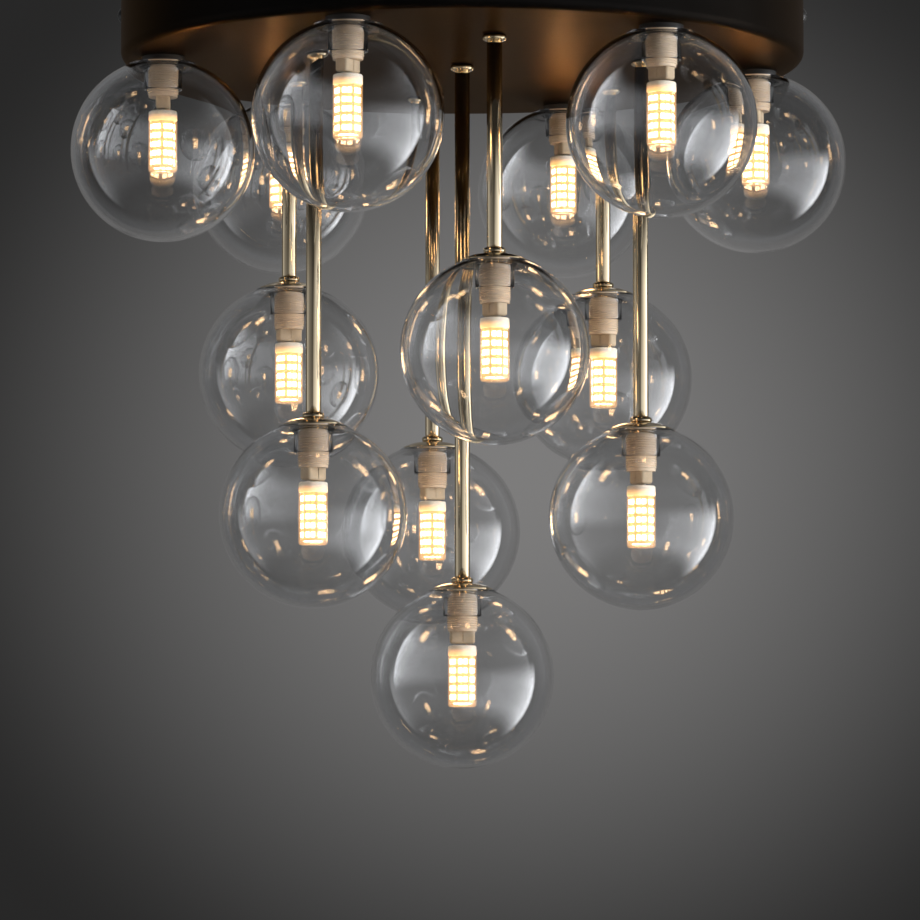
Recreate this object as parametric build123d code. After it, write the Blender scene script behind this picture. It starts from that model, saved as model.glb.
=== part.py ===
from build123d import *
import math
import os

# Ceiling light with thirteen clear glass globes under a round canopy.
# Millimetres. The origin is the centre of the ceiling face, and everything hangs below it.
# Azimuth angles are measured from +X towards +Y. The photographed side is -Y.

# Canopy: a round pressed drum, open towards the ceiling
canopy_radius = 225.0
canopy_height = 46.0
canopy_sheet = 1.5
canopy_lower_round = 6.0
canopy_upper_round = 8.0
canopy_hole_clearance = 0.2

# Lamp layout: an outer ring of flush lamps, an inner ring on rods, one rod in the middle
outer_ring_radius = 198.0
inner_ring_radius = 123.5
lamps_per_ring = 6
outer_ring_start = -111.0
inner_ring_start = -80.5
short_drop = 140.0
long_drop = 241.0
centre_drop = 343.0

# How far each holder and its lamp is turned about its own axis
holder_turns = {
    "flush_1": 57.0,
    "flush_2": 137.0,
    "flush_3": 75.0,
    "flush_4": 110.0,
    "flush_5": 20.0,
    "flush_6": 90.0,
    "short_1": 129.0,
    "long_1": 118.0,
    "short_2": 150.0,
    "long_2": 30.0,
    "short_3": 18.0,
    "long_3": 48.0,
    "centre": 3.0,
}

# Glass globe
globe_radius = 60.0
globe_wall = 2.2
mouth_radius = 19.2
mouth_thickness = 2.4
neck_wall = 2.0
neck_length = 16.5
neck_flare = 4.0

# Thread sleeve, with the glass neck round it
sleeve_crest_radius = 10.2
sleeve_thread_depth = 0.7
sleeve_pitch = 1.5
sleeve_length = 26.7
sleeve_plain_top = 4.0
sleeve_wall = 0.75
sleeve_top_wall = 4.0
sleeve_floor = 1.5
neck_clearance = 0.35

# Ceramic holder
holder_width = 16.2
holder_depth = 8.8
holder_corner = 1.8
holder_shown = 8.0
holder_height = 20.5
holder_flange_height = 2.5
holder_window_clearance = 0.1
holder_flange_clearance = 0.3
holder_top_radius = 7.6
holder_chamfer = 0.5
holder_groove_width = 1.0
holder_groove_depth = 0.4

# Pins of the lamp, and the clips that grip them
pin_spacing = 9.0
pin_width = 2.4
pin_wire = 0.8
pin_length = 8.0
clip_sheet = 0.35
clip_clearance = 0.2
clip_width = 3.0
clip_height = 7.5
clip_depth = 2.5
slot_clearance = 0.2

# LED capsule lamp
lamp_radius = 9.3
lamp_length = 40.3
lamp_base_height = 6.8
lamp_base_round = 1.4
lamp_cover_wall = 0.8
lamp_cover_round = 2.0
lamp_gap = 1.0
core_side = 8.1
core_end_gap = 1.2
chip_rows = 5
chip_pitch = 5.8
chip_length = 3.5
chip_width = 2.8
chip_height = 0.6
end_chip_size = 2.6
end_chip_ring = 4.5
end_chip_count = 6

# Rods, nipples, nuts and collars on one thread size
rod_radius = 5.0
rod_bore_radius = 4.0
thread_clearance = 0.05
rod_end_reach = 1.5
nut_across_flats = 14.0
lock_nut_height = 4.0
washer_radius = 9.5
washer_thickness = 1.0
nut_thread_shown = 3.0
nut_bevel_share = 0.6
nut_bevel_slope = 0.6
upper_collar_radius = 7.8
upper_collar_height = 4.2
lower_collar_radius = 7.2
lower_collar_height = 3.8
collar_round_share = 0.3

# Cap over the mouth of a hanging globe, and spacer over the mouth of a flush one
cap_radius = 19.6
cap_sheet = 1.0
cap_flat_radius = 8.8
cap_edge = 0.7
cap_crown = 0.55
mouth_below_seat = 4.4
mouth_clearance = 0.3
spacer_radius = 14.0
spacer_clearance = 0.3

# Ceiling bracket: two crossed straps with bent tabs
strap_width = 30.0
strap_sheet = 2.0
tab_clearance = 9.5
tab_outer_radius = canopy_radius - canopy_sheet - tab_clearance
tab_drop = 24.0
ceiling_slot_radius = 70.0
ceiling_slot_length = 30.0
ceiling_slot_width = 5.5
cable_hole_radius = 12.0

# Side screws through the canopy's wall into the tabs
side_screw_count = 4
side_screw_drop = 13.3
side_screw_radius = 2.0
side_screw_length = 16.0
side_screw_head_radius = 5.2
side_screw_head_height = 3.0
side_screw_clearance = 0.3
side_screw_slot = 1.2
screw_thread_gap = 0.02

# Lead splitters, each turned a little from a short rod towards the other lamps of its third
splitter_radius = 42.0
splitter_turn_from_rod = 15.0
splitter_width = 56.0
splitter_depth = 22.0
splitter_height = 14.0
splitter_ports = 10
splitter_pitch = 5.0
splitter_inner_ports = (-17.0, -12.0, 12.0, 17.0)
splitter_port_depth = 6.0
splitter_chamfer = 1.5
lamp_first_ports = (0, 2, 6, 8)
pad_thickness = 1.0
pad_inset = 2.5
lever_width = 3.6
lever_length = 6.0
lever_height = 1.2

# Leads
lead_radius = 0.95
lead_port_clearance = 0.3
lead_spacing = 5.0
lead_straight = 2.0
lead_twist_length = 14.0
lead_run_height = 9.0
lead_port_run = 13.0
least_bend = 0.01
bend_share = 0.45

# Terminal block on the bracket
block_length = 30.0
block_depth = 20.0
block_height = 14.0
block_pitch = 10.0
block_place = 39.0
block_chamfer = 1.2
block_well_depth = 4.0
block_screw_radius = 1.6
block_screw_head_radius = 2.4
block_screw_head_height = 1.4
block_screw_clearance = 0.1
clamp_screw_height = 3.0
clamp_screw_set_in = 1.0
clamp_screw_slot = 0.6
clamp_screw_slot_depth = 0.8
block_lead_reach = 7.0

# Earth points
earth_stud_radius = 2.0
earth_stud_length = 10.0
earth_screw_from_tab = 114.0
earth_stud_from_screw = 26.0
earth_screw_place = (tab_outer_radius - earth_screw_from_tab, 0.0)
earth_stud_place = (earth_screw_place[0] + earth_stud_from_screw, 0.0)
earth_lead_reach = 14.0
earth_loop_reach = 34.0
earth_nut_across_flats = 7.0
earth_nut_height = 3.2
lug_radius = 4.0
lug_thickness = 0.8
lug_neck_width = 2.8
lug_barrel_radius = 1.6
lug_barrel_start = 6.5
lug_barrel_length = 5.0

# Heights that follow
canopy_underside = -canopy_height
canopy_floor = canopy_underside + canopy_sheet
mouth_height = math.sqrt(globe_radius**2 - mouth_radius**2)
globe_below_seat = mouth_height + mouth_below_seat
nut_top = canopy_floor + washer_thickness + lock_nut_height
thread_top = nut_top + nut_thread_shown
lead_run_z = thread_top + lead_run_height
sleeve_bore_radius = sleeve_crest_radius - sleeve_thread_depth - sleeve_wall
neck_bore_radius = sleeve_crest_radius + neck_clearance
cap_height = mouth_below_seat - mouth_clearance
spacer_thickness = mouth_below_seat - mouth_clearance
side_screw_turn = 360.0 / side_screw_count


def polar(radius, degrees):
    angle = math.radians(degrees)
    return radius * math.cos(angle), radius * math.sin(angle)


def lamp_places():
    """Name, x, y and seat height of every lamp."""
    places = []
    step = 360.0 / lamps_per_ring
    for index in range(lamps_per_ring):
        x, y = polar(outer_ring_radius, outer_ring_start + index * step)
        places.append(("flush_%d" % (index + 1), x, y, canopy_underside))
    for index in range(lamps_per_ring):
        x, y = polar(inner_ring_radius, inner_ring_start + index * step)
        kind = "short" if index % 2 == 0 else "long"
        drop = short_drop if kind == "short" else long_drop
        name = "%s_%d" % (kind, index // 2 + 1)
        places.append((name, x, y, canopy_underside - drop))
    places.append(("centre", 0.0, 0.0, canopy_underside - centre_drop))
    return places


def hanging(seat):
    return seat < canopy_underside


def sleeve_top_at(seat):
    """The sleeve of a hanging lamp starts under the cap and its nut."""
    if hanging(seat):
        return seat - cap_sheet - lock_nut_height
    return seat


def holder_bottom_at(seat):
    return sleeve_top_at(seat) - sleeve_length - holder_shown


def turned(points):
    """A solid of revolution about Z from (radius, height) points."""
    outline = Polyline(*[(radius, 0, height) for radius, height in points], close=True)
    return revolve(make_face(outline), axis=Axis.Z)


def write_node(name, solids):
    export_step(Compound(children=list(solids)), "parts/%s.step" % name)


# Glass

def glass_globe():
    """Origin at the centre of the ball. A flat mouth ring joins the ball to the neck tube."""
    inner_radius = globe_radius - globe_wall
    mouth_under = mouth_height - mouth_thickness
    ring_inner = math.sqrt(inner_radius**2 - mouth_under**2)
    neck_outer = neck_bore_radius + neck_wall
    neck_end = mouth_height - neck_length
    flare_centre = (neck_outer + neck_flare, mouth_under - neck_flare)
    flare_mid = neck_flare * math.sqrt(0.5)
    outer_arc = ThreePointArc(
        (0, 0, -globe_radius), (globe_radius, 0, 0), (mouth_radius, 0, mouth_height)
    )
    top = Polyline(
        (mouth_radius, 0, mouth_height),
        (neck_bore_radius, 0, mouth_height),
        (neck_bore_radius, 0, neck_end),
        (neck_outer, 0, neck_end),
        (neck_outer, 0, flare_centre[1]),
    )
    flare = ThreePointArc(
        (neck_outer, 0, flare_centre[1]),
        (flare_centre[0] - flare_mid, 0, flare_centre[1] + flare_mid),
        (flare_centre[0], 0, mouth_under),
    )
    ring = Line((flare_centre[0], 0, mouth_under), (ring_inner, 0, mouth_under))
    inner_arc = ThreePointArc(
        (ring_inner, 0, mouth_under), (inner_radius, 0, 0), (0, 0, -inner_radius)
    )
    axis_line = Line((0, 0, -inner_radius), (0, 0, -globe_radius))
    outline = Wire([outer_arc, *top.edges(), flare, ring, inner_arc, axis_line])
    return revolve(make_face(outline), axis=Axis.Z)


# Lampholder and sleeve

def thread_sleeve():
    """Origin at the middle of the top face. Ribs stand for the thread."""
    root = sleeve_crest_radius - sleeve_thread_depth
    outer = [(root, 0), (root, -sleeve_plain_top)]
    ribs = int((sleeve_length - sleeve_plain_top - sleeve_floor / 2) / sleeve_pitch)
    for index in range(ribs):
        start = -sleeve_plain_top - index * sleeve_pitch
        outer.append((sleeve_crest_radius, start - sleeve_pitch * 0.35))
        outer.append((sleeve_crest_radius, start - sleeve_pitch * 0.6))
        outer.append((root, start - sleeve_pitch * 0.95))
    outer.append((root, -sleeve_length))
    inner = [
        (0, -sleeve_length),
        (0, -sleeve_length + sleeve_floor),
        (sleeve_bore_radius, -sleeve_length + sleeve_floor),
        (sleeve_bore_radius, -sleeve_top_wall),
        (rod_radius + thread_clearance, -sleeve_top_wall),
        (rod_radius + thread_clearance, 0),
    ]
    window = extrude(
        RectangleRounded(
            holder_width + 2 * holder_window_clearance,
            holder_depth + 2 * holder_window_clearance,
            holder_corner,
        ),
        amount=3 * sleeve_floor,
    )
    return turned(outer + inner) - Pos(0, 0, -sleeve_length - sleeve_floor) * window


def ceramic_holder():
    """Origin at the middle of the bottom face, the long side along X."""
    floor_top = holder_shown + sleeve_floor
    block = extrude(RectangleRounded(holder_width, holder_depth, holder_corner), amount=floor_top)
    block = chamfer(block.faces().sort_by(Axis.Z)[0].edges(), holder_chamfer)
    flange_radius = sleeve_bore_radius - holder_flange_clearance
    flange = Pos(0, 0, floor_top) * Cylinder(
        flange_radius, holder_flange_height, align=(Align.CENTER, Align.CENTER, Align.MIN)
    )
    body_height = holder_height - floor_top - holder_flange_height
    body = Pos(0, 0, floor_top + holder_flange_height) * Cylinder(
        holder_top_radius, body_height, align=(Align.CENTER, Align.CENTER, Align.MIN)
    )
    holder = block + flange + body
    slot_height = clip_depth + clip_height
    lead_hole_depth = holder_height - slot_height
    for side in (-1, 1):
        slot = Pos(side * pin_spacing / 2, 0, slot_height / 2) * Box(
            clip_width + 2 * slot_clearance, clip_thickness() + 2 * slot_clearance, slot_height
        )
        lead_hole = Pos(side * lead_at_holder(), 0, slot_height + lead_hole_depth / 2) * Cylinder(
            lead_radius + lead_port_clearance, lead_hole_depth
        )
        holder = holder - slot - lead_hole
    groove = Box(holder_groove_width, 2 * holder_groove_depth, 2 * holder_shown)
    for side in (-1, 1):
        holder = holder - Pos(0, side * holder_depth / 2, 0) * groove
    return holder


def clip_thickness():
    return pin_wire + 2 * clip_clearance + 2 * clip_sheet


def lead_at_holder():
    """The leads enter the holder as far apart as the rod's bore lets them."""
    return rod_bore_radius - lead_radius - thread_clearance * 2


def holder_clip():
    """A bent strip that grips one looped pin. Origin at the middle of its lower end."""
    leaf_offset = (clip_thickness() - clip_sheet) / 2
    clip = Pos(0, 0, clip_height - clip_sheet / 2) * Box(clip_width, clip_thickness(), clip_sheet)
    for side in (-1, 1):
        clip = clip + Pos(0, side * leaf_offset, clip_height / 2) * Box(
            clip_width, clip_sheet, clip_height
        )
    return clip


# LED capsule lamp, origin at the middle of the base's top face

def lamp_base():
    base = Cylinder(lamp_radius, lamp_base_height, align=(Align.CENTER, Align.CENTER, Align.MAX))
    return fillet(base.edges().sort_by(Axis.Z)[-1], lamp_base_round)


def lamp_pin():
    """A loop of wire: two legs and a half turn."""
    half = (pin_width - pin_wire) / 2
    straight = pin_length - half - pin_wire / 2
    path = Wire([
        Line((-half, 0, 0), (-half, 0, straight)),
        ThreePointArc((-half, 0, straight), (0, 0, straight + half), (half, 0, straight)),
        Line((half, 0, straight), (half, 0, 0)),
    ])
    section = Plane(origin=(-half, 0, 0), z_dir=(0, 0, 1)) * Circle(pin_wire / 2)
    return sweep(section, path=path)


def lamp_cover():
    outer = Cylinder(
        lamp_radius,
        lamp_length - lamp_base_height,
        align=(Align.CENTER, Align.CENTER, Align.MAX),
    )
    outer = fillet(outer.edges().sort_by(Axis.Z)[0], lamp_cover_round)
    inner = Cylinder(
        lamp_radius - lamp_cover_wall,
        lamp_length - lamp_base_height - lamp_cover_wall,
        align=(Align.CENTER, Align.CENTER, Align.MAX),
    )
    inner = fillet(inner.edges().sort_by(Axis.Z)[0], lamp_cover_round - lamp_cover_wall)
    return Pos(0, 0, -lamp_base_height) * (outer - inner)


def lamp_core():
    """Six-sided core with a column of chips on each side and a ring of chips on its end."""
    end = lamp_length - lamp_cover_wall - core_end_gap - chip_height
    length = end - lamp_base_height
    core = Pos(0, 0, -end) * extrude(RegularPolygon(core_side, 6), amount=length)
    apothem = core_side * math.sqrt(0.75)
    chips = []
    first = -lamp_base_height - length / 2 + chip_pitch * (chip_rows - 1) / 2
    for side in range(6):
        for row in range(chip_rows):
            chip = Box(chip_height * 2, chip_width, chip_length)
            place = Rot(0, 0, 30 + 60 * side) * Pos(apothem, 0, first - row * chip_pitch)
            chips.append(place * chip)
    end_chip = Box(end_chip_size, end_chip_size, chip_height * 2)
    chips.append(Pos(0, 0, -end) * end_chip)
    for index in range(end_chip_count):
        turn = 360.0 * index / end_chip_count
        chips.append(Rot(0, 0, turn) * Pos(end_chip_ring, 0, -end) * end_chip)
    return core + chips


# Rods, nipples, nuts, collars and caps, each with its bottom or top face at the origin

def tube(outer_radius, inner_radius, bottom, top):
    return turned([
        (inner_radius, bottom),
        (outer_radius, bottom),
        (outer_radius, top),
        (inner_radius, top),
    ])


def hex_nut(across_flats, height, bore_radius):
    """Bottom face at the origin, with the corners turned down on both faces."""
    corner = across_flats / math.sqrt(3)
    nut = extrude(RegularPolygon(corner, 6), amount=height)
    bevel = (corner - across_flats / 2) * nut_bevel_share
    blank = turned([
        (0, 0),
        (corner - bevel, 0),
        (corner, bevel * nut_bevel_slope),
        (corner, height - bevel * nut_bevel_slope),
        (corner - bevel, height),
        (0, height),
    ])
    bore = Cylinder(bore_radius, height, align=(Align.CENTER, Align.CENTER, Align.MIN))
    return (nut & blank) - bore


def rounded_ring(outer_radius, inner_radius, height):
    """Bottom face at the origin."""
    ring = tube(outer_radius, inner_radius, 0, height)
    outer_edges = ring.edges().filter_by(GeomType.CIRCLE).group_by(SortBy.RADIUS)[-1]
    return fillet(outer_edges, height * collar_round_share)


def rod_cap():
    """Brass dish, top face at the origin."""
    rim_outer = -cap_height + cap_edge
    mid_radius = (cap_radius + cap_flat_radius) / 2
    inner_rim = cap_radius - cap_sheet
    outer = [
        Line((rod_radius + thread_clearance, 0, 0), (cap_flat_radius, 0, 0)),
        ThreePointArc(
            (cap_flat_radius, 0, 0),
            (mid_radius, 0, rim_outer / 2 + cap_crown),
            (cap_radius, 0, rim_outer),
        ),
        Line((cap_radius, 0, rim_outer), (cap_radius, 0, -cap_height)),
        Line((cap_radius, 0, -cap_height), (inner_rim, 0, -cap_height)),
        ThreePointArc(
            (inner_rim, 0, -cap_height),
            (mid_radius - cap_sheet / 3, 0, rim_outer / 2 + cap_crown - cap_sheet),
            (cap_flat_radius, 0, -cap_sheet),
        ),
        Line((cap_flat_radius, 0, -cap_sheet), (rod_radius + thread_clearance, 0, -cap_sheet)),
        Line((rod_radius + thread_clearance, 0, -cap_sheet), (rod_radius + thread_clearance, 0, 0)),
    ]
    return revolve(make_face(Wire(outer)), axis=Axis.Z)


# Canopy and bracket

def canopy_pan():
    wall = canopy_radius
    inner = canopy_radius - canopy_sheet
    low_round = canopy_lower_round
    top_round = canopy_upper_round
    half = math.sqrt(0.5)

    def shell_edges(radius, low, low_radius, top, top_radius):
        """Floor, lower corner, wall and upper corner of one side of the sheet."""
        low_centre = (radius - low_radius, low + low_radius)
        top_centre = (radius - top_radius, top - top_radius)
        return [
            Line((0, 0, low), (low_centre[0], 0, low)),
            ThreePointArc(
                (low_centre[0], 0, low),
                (low_centre[0] + low_radius * half, 0, low_centre[1] - low_radius * half),
                (radius, 0, low_centre[1]),
            ),
            Line((radius, 0, low_centre[1]), (radius, 0, top_centre[1])),
            ThreePointArc(
                (radius, 0, top_centre[1]),
                (top_centre[0] + top_radius * half, 0, top_centre[1] + top_radius * half),
                (top_centre[0], 0, top),
            ),
        ]

    outside = shell_edges(wall, canopy_underside, low_round, 0, top_round)
    inside = shell_edges(
        inner, canopy_floor, low_round - canopy_sheet, -canopy_sheet, top_round - canopy_sheet
    )
    lip = wall - top_round
    lip_edge = Line((lip, 0, 0), (lip, 0, -canopy_sheet))
    middle = Line((0, 0, canopy_underside), (0, 0, canopy_floor))
    pan = revolve(make_face(Wire([*outside, *inside, lip_edge, middle])), axis=Axis.Z)
    hole = Cylinder(rod_radius + canopy_hole_clearance, 4 * canopy_sheet)
    for name, x, y, seat in lamp_places():
        pan = pan - Pos(x, y, canopy_underside) * hole
    for index in range(side_screw_count):
        hole = Cylinder(side_screw_radius + side_screw_clearance, 6 * canopy_sheet)
        turn = Rot(0, 0, index * side_screw_turn)
        pan = pan - turn * Pos(canopy_radius, 0, -side_screw_drop) * Rot(0, 90, 0) * hole
    stud = Cylinder(
        earth_stud_radius,
        earth_stud_length + canopy_sheet / 2,
        align=(Align.CENTER, Align.CENTER, Align.MIN),
    )
    return pan + Pos(*earth_stud_place, canopy_floor - canopy_sheet / 2) * stud


def ceiling_bracket():
    length = 2 * tab_outer_radius
    strap = Pos(0, 0, -strap_sheet / 2) * Box(length, strap_width, strap_sheet)
    tab_place = Pos(tab_outer_radius - strap_sheet / 2, 0, -tab_drop / 2)
    tab = tab_place * Box(strap_sheet, strap_width, tab_drop)
    slot = extrude(SlotOverall(ceiling_slot_length, ceiling_slot_width), amount=4 * strap_sheet)
    slot_cut = Pos(0, 0, -2 * strap_sheet) * slot
    tapped = Cylinder(side_screw_radius, 4 * strap_sheet)
    bracket = strap + Rot(0, 0, 90) * strap
    for index in range(side_screw_count):
        bracket = bracket + Rot(0, 0, index * side_screw_turn) * tab
    for index in range(side_screw_count):
        turn = Rot(0, 0, index * side_screw_turn)
        bracket = bracket - turn * Pos(ceiling_slot_radius, 0, 0) * slot_cut
        screw_place = Pos(tab_outer_radius, 0, -side_screw_drop) * Rot(0, 90, 0)
        bracket = bracket - turn * screw_place * tapped
    bracket = bracket - Cylinder(cable_hole_radius, 4 * strap_sheet)
    for x, y in block_screw_places() + [earth_screw_place]:
        hole = Cylinder(side_screw_radius, 4 * strap_sheet)
        bracket = bracket - Pos(x, y, 0) * hole
    return bracket


def side_screw():
    """Axis along +X, the underside of the head at the origin."""
    head_radius = side_screw_head_radius
    rise = side_screw_head_height
    shank = Cylinder(
        side_screw_radius - screw_thread_gap,
        side_screw_length,
        align=(Align.CENTER, Align.CENTER, Align.MAX),
    )
    dome_radius = (head_radius**2 + rise**2) / (2 * rise)
    dome_edge = math.asin((dome_radius - rise) / dome_radius)
    half_way = (dome_edge + math.pi / 2) / 2
    arc = ThreePointArc(
        (head_radius, 0, 0),
        (dome_radius * math.cos(half_way), 0, dome_radius * math.sin(half_way) + rise - dome_radius),
        (0, 0, rise),
    )
    sides = Polyline((0, 0, rise), (0, 0, 0), (head_radius, 0, 0))
    dome = revolve(make_face(Wire([arc, *sides.edges()])), axis=Axis.Z)
    slots = Pos(0, 0, rise) * Box(head_radius, side_screw_slot, rise)
    slots = slots + Pos(0, 0, rise) * Box(side_screw_slot, head_radius, rise)
    return Rot(0, 90, 0) * (shank + dome - slots)


# Wiring inside the canopy

def splitter_turns():
    """Each splitter faces the four lamps of its third of the canopy."""
    first = inner_ring_start + splitter_turn_from_rod
    return [first + 120.0 * index for index in range(3)]


def splitter_port_z():
    return canopy_floor + pad_thickness + splitter_height / 2


def outer_port_offsets():
    first = -splitter_pitch * (splitter_ports - 1) / 2
    return [first + index * splitter_pitch for index in range(splitter_ports)]


def lead_splitter():
    """Facing +X, its inner face at the splitter radius. Levers stand over the outer ports."""
    body = Pos(splitter_radius + splitter_depth / 2, 0, splitter_port_z()) * Box(
        splitter_depth, splitter_width, splitter_height
    )
    body = chamfer(body.edges().filter_by(Axis.Z), splitter_chamfer)
    hole = Cylinder(lead_radius + lead_port_clearance, 2 * splitter_port_depth)
    outer_face = splitter_radius + splitter_depth
    top = splitter_port_z() + splitter_height / 2
    for offset in outer_port_offsets():
        body = body - Pos(outer_face, offset, splitter_port_z()) * Rot(0, 90, 0) * hole
        lever_x = outer_face - lever_length
        body = body + Pos(lever_x, offset, top) * Box(lever_length, lever_width, 2 * lever_height)
    for offset in splitter_inner_ports:
        body = body - Pos(splitter_radius, offset, splitter_port_z()) * Rot(0, 90, 0) * hole
        lever_x = splitter_radius + lever_length
        body = body + Pos(lever_x, offset, top) * Box(lever_length, lever_width, 2 * lever_height)
    return body


def splitter_pad():
    return Pos(splitter_radius + splitter_depth / 2, 0, canopy_floor + pad_thickness / 2) * Box(
        splitter_depth - 2 * pad_inset, splitter_width - 2 * pad_inset, pad_thickness
    )


def block_centre_z():
    return -strap_sheet - block_height / 2


def block_pole_x():
    return [block_place + index * block_pitch for index in (-1, 0, 1)]


def block_screw_places():
    """Two fixing screws, between the poles."""
    return [(block_place - block_pitch / 2, 0.0), (block_place + block_pitch / 2, 0.0)]


def terminal_block():
    """Under the bracket, its poles in a row along X, with a supply side and a light side."""
    body = Pos(block_place, 0, block_centre_z()) * Box(block_length, block_depth, block_height)
    body = chamfer(body.edges().filter_by(Axis.X), block_chamfer)
    bottom = -strap_sheet - block_height
    port = Rot(90, 0, 0) * Cylinder(lead_radius + 2 * lead_port_clearance, 2 * splitter_port_depth)
    well = Cylinder(block_screw_head_radius, 2 * block_well_depth)
    screw_hole = Cylinder(block_screw_radius + block_screw_clearance, block_height)
    for x in block_pole_x():
        for side in (-1, 1):
            body = body - Pos(x, side * block_depth / 2, block_centre_z()) * port
            body = body - Pos(x, side * block_depth / 4, bottom) * well
    for x, y in block_screw_places():
        body = body - Pos(x, y, block_centre_z()) * screw_hole
    return body


def terminal_screws():
    """A slotted clamping screw in each well of the block."""
    bottom = -strap_sheet - block_height
    screw = Cylinder(
        block_screw_head_radius - block_screw_clearance,
        clamp_screw_height,
        align=(Align.CENTER, Align.CENTER, Align.MIN),
    )
    screw = screw - Box(2 * block_screw_head_radius, clamp_screw_slot, 2 * clamp_screw_slot_depth)
    screws = []
    for x in block_pole_x():
        for side in (-1, 1):
            screws.append(Pos(x, side * block_depth / 4, bottom + clamp_screw_set_in) * screw)
    return screws


def block_screws():
    """Fixing screws of the terminal block, up into the bracket."""
    bottom = -strap_sheet - block_height
    screws = []
    for x, y in block_screw_places():
        shank = Cylinder(
            block_screw_radius, block_height + strap_sheet, align=(Align.CENTER, Align.CENTER, Align.MIN)
        )
        head = Cylinder(
            block_screw_head_radius,
            block_screw_head_height,
            align=(Align.CENTER, Align.CENTER, Align.MAX),
        )
        screws.append(Pos(x, y, bottom) * (shank + head))
    return screws


def lead(points, name):
    """A round lead along straight runs with tangent bends."""
    kept = [Vector(*points[0])]
    for index in range(1, len(points) - 1):
        before = Vector(*points[index]) - kept[-1]
        after = Vector(*points[index + 1]) - Vector(*points[index])
        if before.get_angle(after) > least_bend:
            kept.append(Vector(*points[index]))
    kept.append(Vector(*points[-1]))
    radii = []
    for index in range(1, len(kept) - 1):
        before = kept[index] - kept[index - 1]
        after = kept[index + 1] - kept[index]
        half_turn = math.radians(before.get_angle(after)) / 2
        radii.append(bend_share * min(before.length, after.length) / math.tan(half_turn))
    path = FilletPolyline(*kept, radius=radii)
    section = Plane(origin=path @ 0, z_dir=path % 0) * Circle(lead_radius)
    solid = sweep(section, path=path)
    expected = math.pi * lead_radius**2 * path.length
    print(name, "tightest bend", round(min(radii), 2), "volume share", round(solid.volume / expected, 4))
    return solid


def beside(points, offset):
    """Plan points moved sideways, to the left of the runs between them."""
    normals = []
    for first, second in zip(points, points[1:]):
        across = Vector(second[0] - first[0], second[1] - first[1]).normalized()
        normals.append((-across.Y, across.X))
    moved = []
    for index, point in enumerate(points):
        before = normals[max(index - 1, 0)]
        after = normals[min(index, len(normals) - 1)]
        share = offset / (1 + before[0] * after[0] + before[1] * after[1])
        moved.append((
            point[0] + share * (before[0] + after[0]),
            point[1] + share * (before[1] + after[1]),
        ))
    return moved


def port_run(turn, radius, offset, outward):
    """Plan points in front of a splitter's port and at the end of its hole."""
    step = 1 if outward else -1
    angle = math.radians(turn)
    points = []
    for distance in (radius - step * lead_port_run, radius + step * splitter_port_depth):
        points.append((
            distance * math.cos(angle) - offset * math.sin(angle),
            distance * math.sin(angle) + offset * math.cos(angle),
        ))
    return points


def lamp_leads(place, ports):
    """The two leads of a lamp, from its clips through the rod or nipple and into a port pair."""
    name, x, y, seat = place
    plan = [(x, y)] + ports
    heading = math.degrees(math.atan2(ports[0][1] - y, ports[0][0] - x))
    # The pair turns by at most a quarter turn between the holder and the canopy.
    twist = (heading + 90.0 - holder_turns[name] + 90.0) % 180.0 - 90.0
    holder_angle = heading + 90.0 - twist
    clip_top = holder_bottom_at(seat) + clip_depth + clip_height
    twist_low = holder_bottom_at(seat) + holder_height + lead_straight
    twist_high = max(canopy_floor, twist_low + lead_twist_length)
    pair = []
    for side in (1, -1):
        low_x, low_y = polar(side * lead_at_holder(), holder_angle)
        above, ahead, end = beside(plan, side * lead_spacing / 2)
        pair.append(lead([
            (x + low_x, y + low_y, clip_top),
            (x + low_x, y + low_y, twist_low),
            (*above, twist_high),
            (*above, lead_run_z),
            (*ahead, splitter_port_z()),
            (*end, splitter_port_z()),
        ], name))
    return pair


def link_leads(first_turn, second_turn):
    """The two leads from one splitter's inner ports to the next splitter's."""
    pair = []
    for offset in splitter_inner_ports[2:]:
        start = port_run(first_turn, splitter_radius, offset, True)[::-1]
        finish = port_run(second_turn, splitter_radius, -offset, True)
        points = [(*point, splitter_port_z()) for point in start + finish]
        pair.append(lead(points, "link"))
    return pair


def block_port(pole, depth):
    """A point on the axis of a pole's outgoing port."""
    return (block_pole_x()[pole], block_depth / 2 - depth, block_centre_z())


def supply_leads(turn):
    """Live and neutral, from the terminal block down to the first splitter."""
    pair = []
    for pole, offset in ((0, splitter_inner_ports[1]), (2, splitter_inner_ports[0])):
        finish = port_run(turn, splitter_radius, offset, True)
        pair.append(lead([
            block_port(pole, splitter_port_depth),
            block_port(pole, -block_lead_reach),
            (*finish[0], splitter_port_z()),
            (*finish[1], splitter_port_z()),
        ], "supply"))
    return pair


def make_leads():
    """Live and neutral leads of every lamp, and the links from the block round the splitters."""
    places = lamp_places()
    turns = splitter_turns()
    pairs = [supply_leads(turns[1]), link_leads(turns[1], turns[2]), link_leads(turns[2], turns[0])]
    ports = outer_port_offsets()
    outer_face = splitter_radius + splitter_depth
    for index, turn in enumerate(turns):
        lamps = [places[2 * index], places[lamps_per_ring + 2 * index]]
        lamps.append(places[2 * index + 1])
        lamps.append(places[lamps_per_ring + 2 * index + 1])
        for lamp, first_port in zip(lamps, lamp_first_ports):
            middle = (ports[first_port] + ports[first_port + 1]) / 2
            pairs.append(lamp_leads(lamp, port_run(turn, outer_face, middle, False)))
    middle = sum(splitter_inner_ports[2:]) / 2
    pairs.append(lamp_leads(places[-1], port_run(turns[0], splitter_radius, middle, True)))
    return [pair[0] for pair in pairs], [pair[1] for pair in pairs]


# Earth: ring lugs on the bracket's screw and on the canopy's stud

def lug_axis():
    """Height of a lug's barrel above the face that the lug lies on."""
    return lug_barrel_radius


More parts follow.
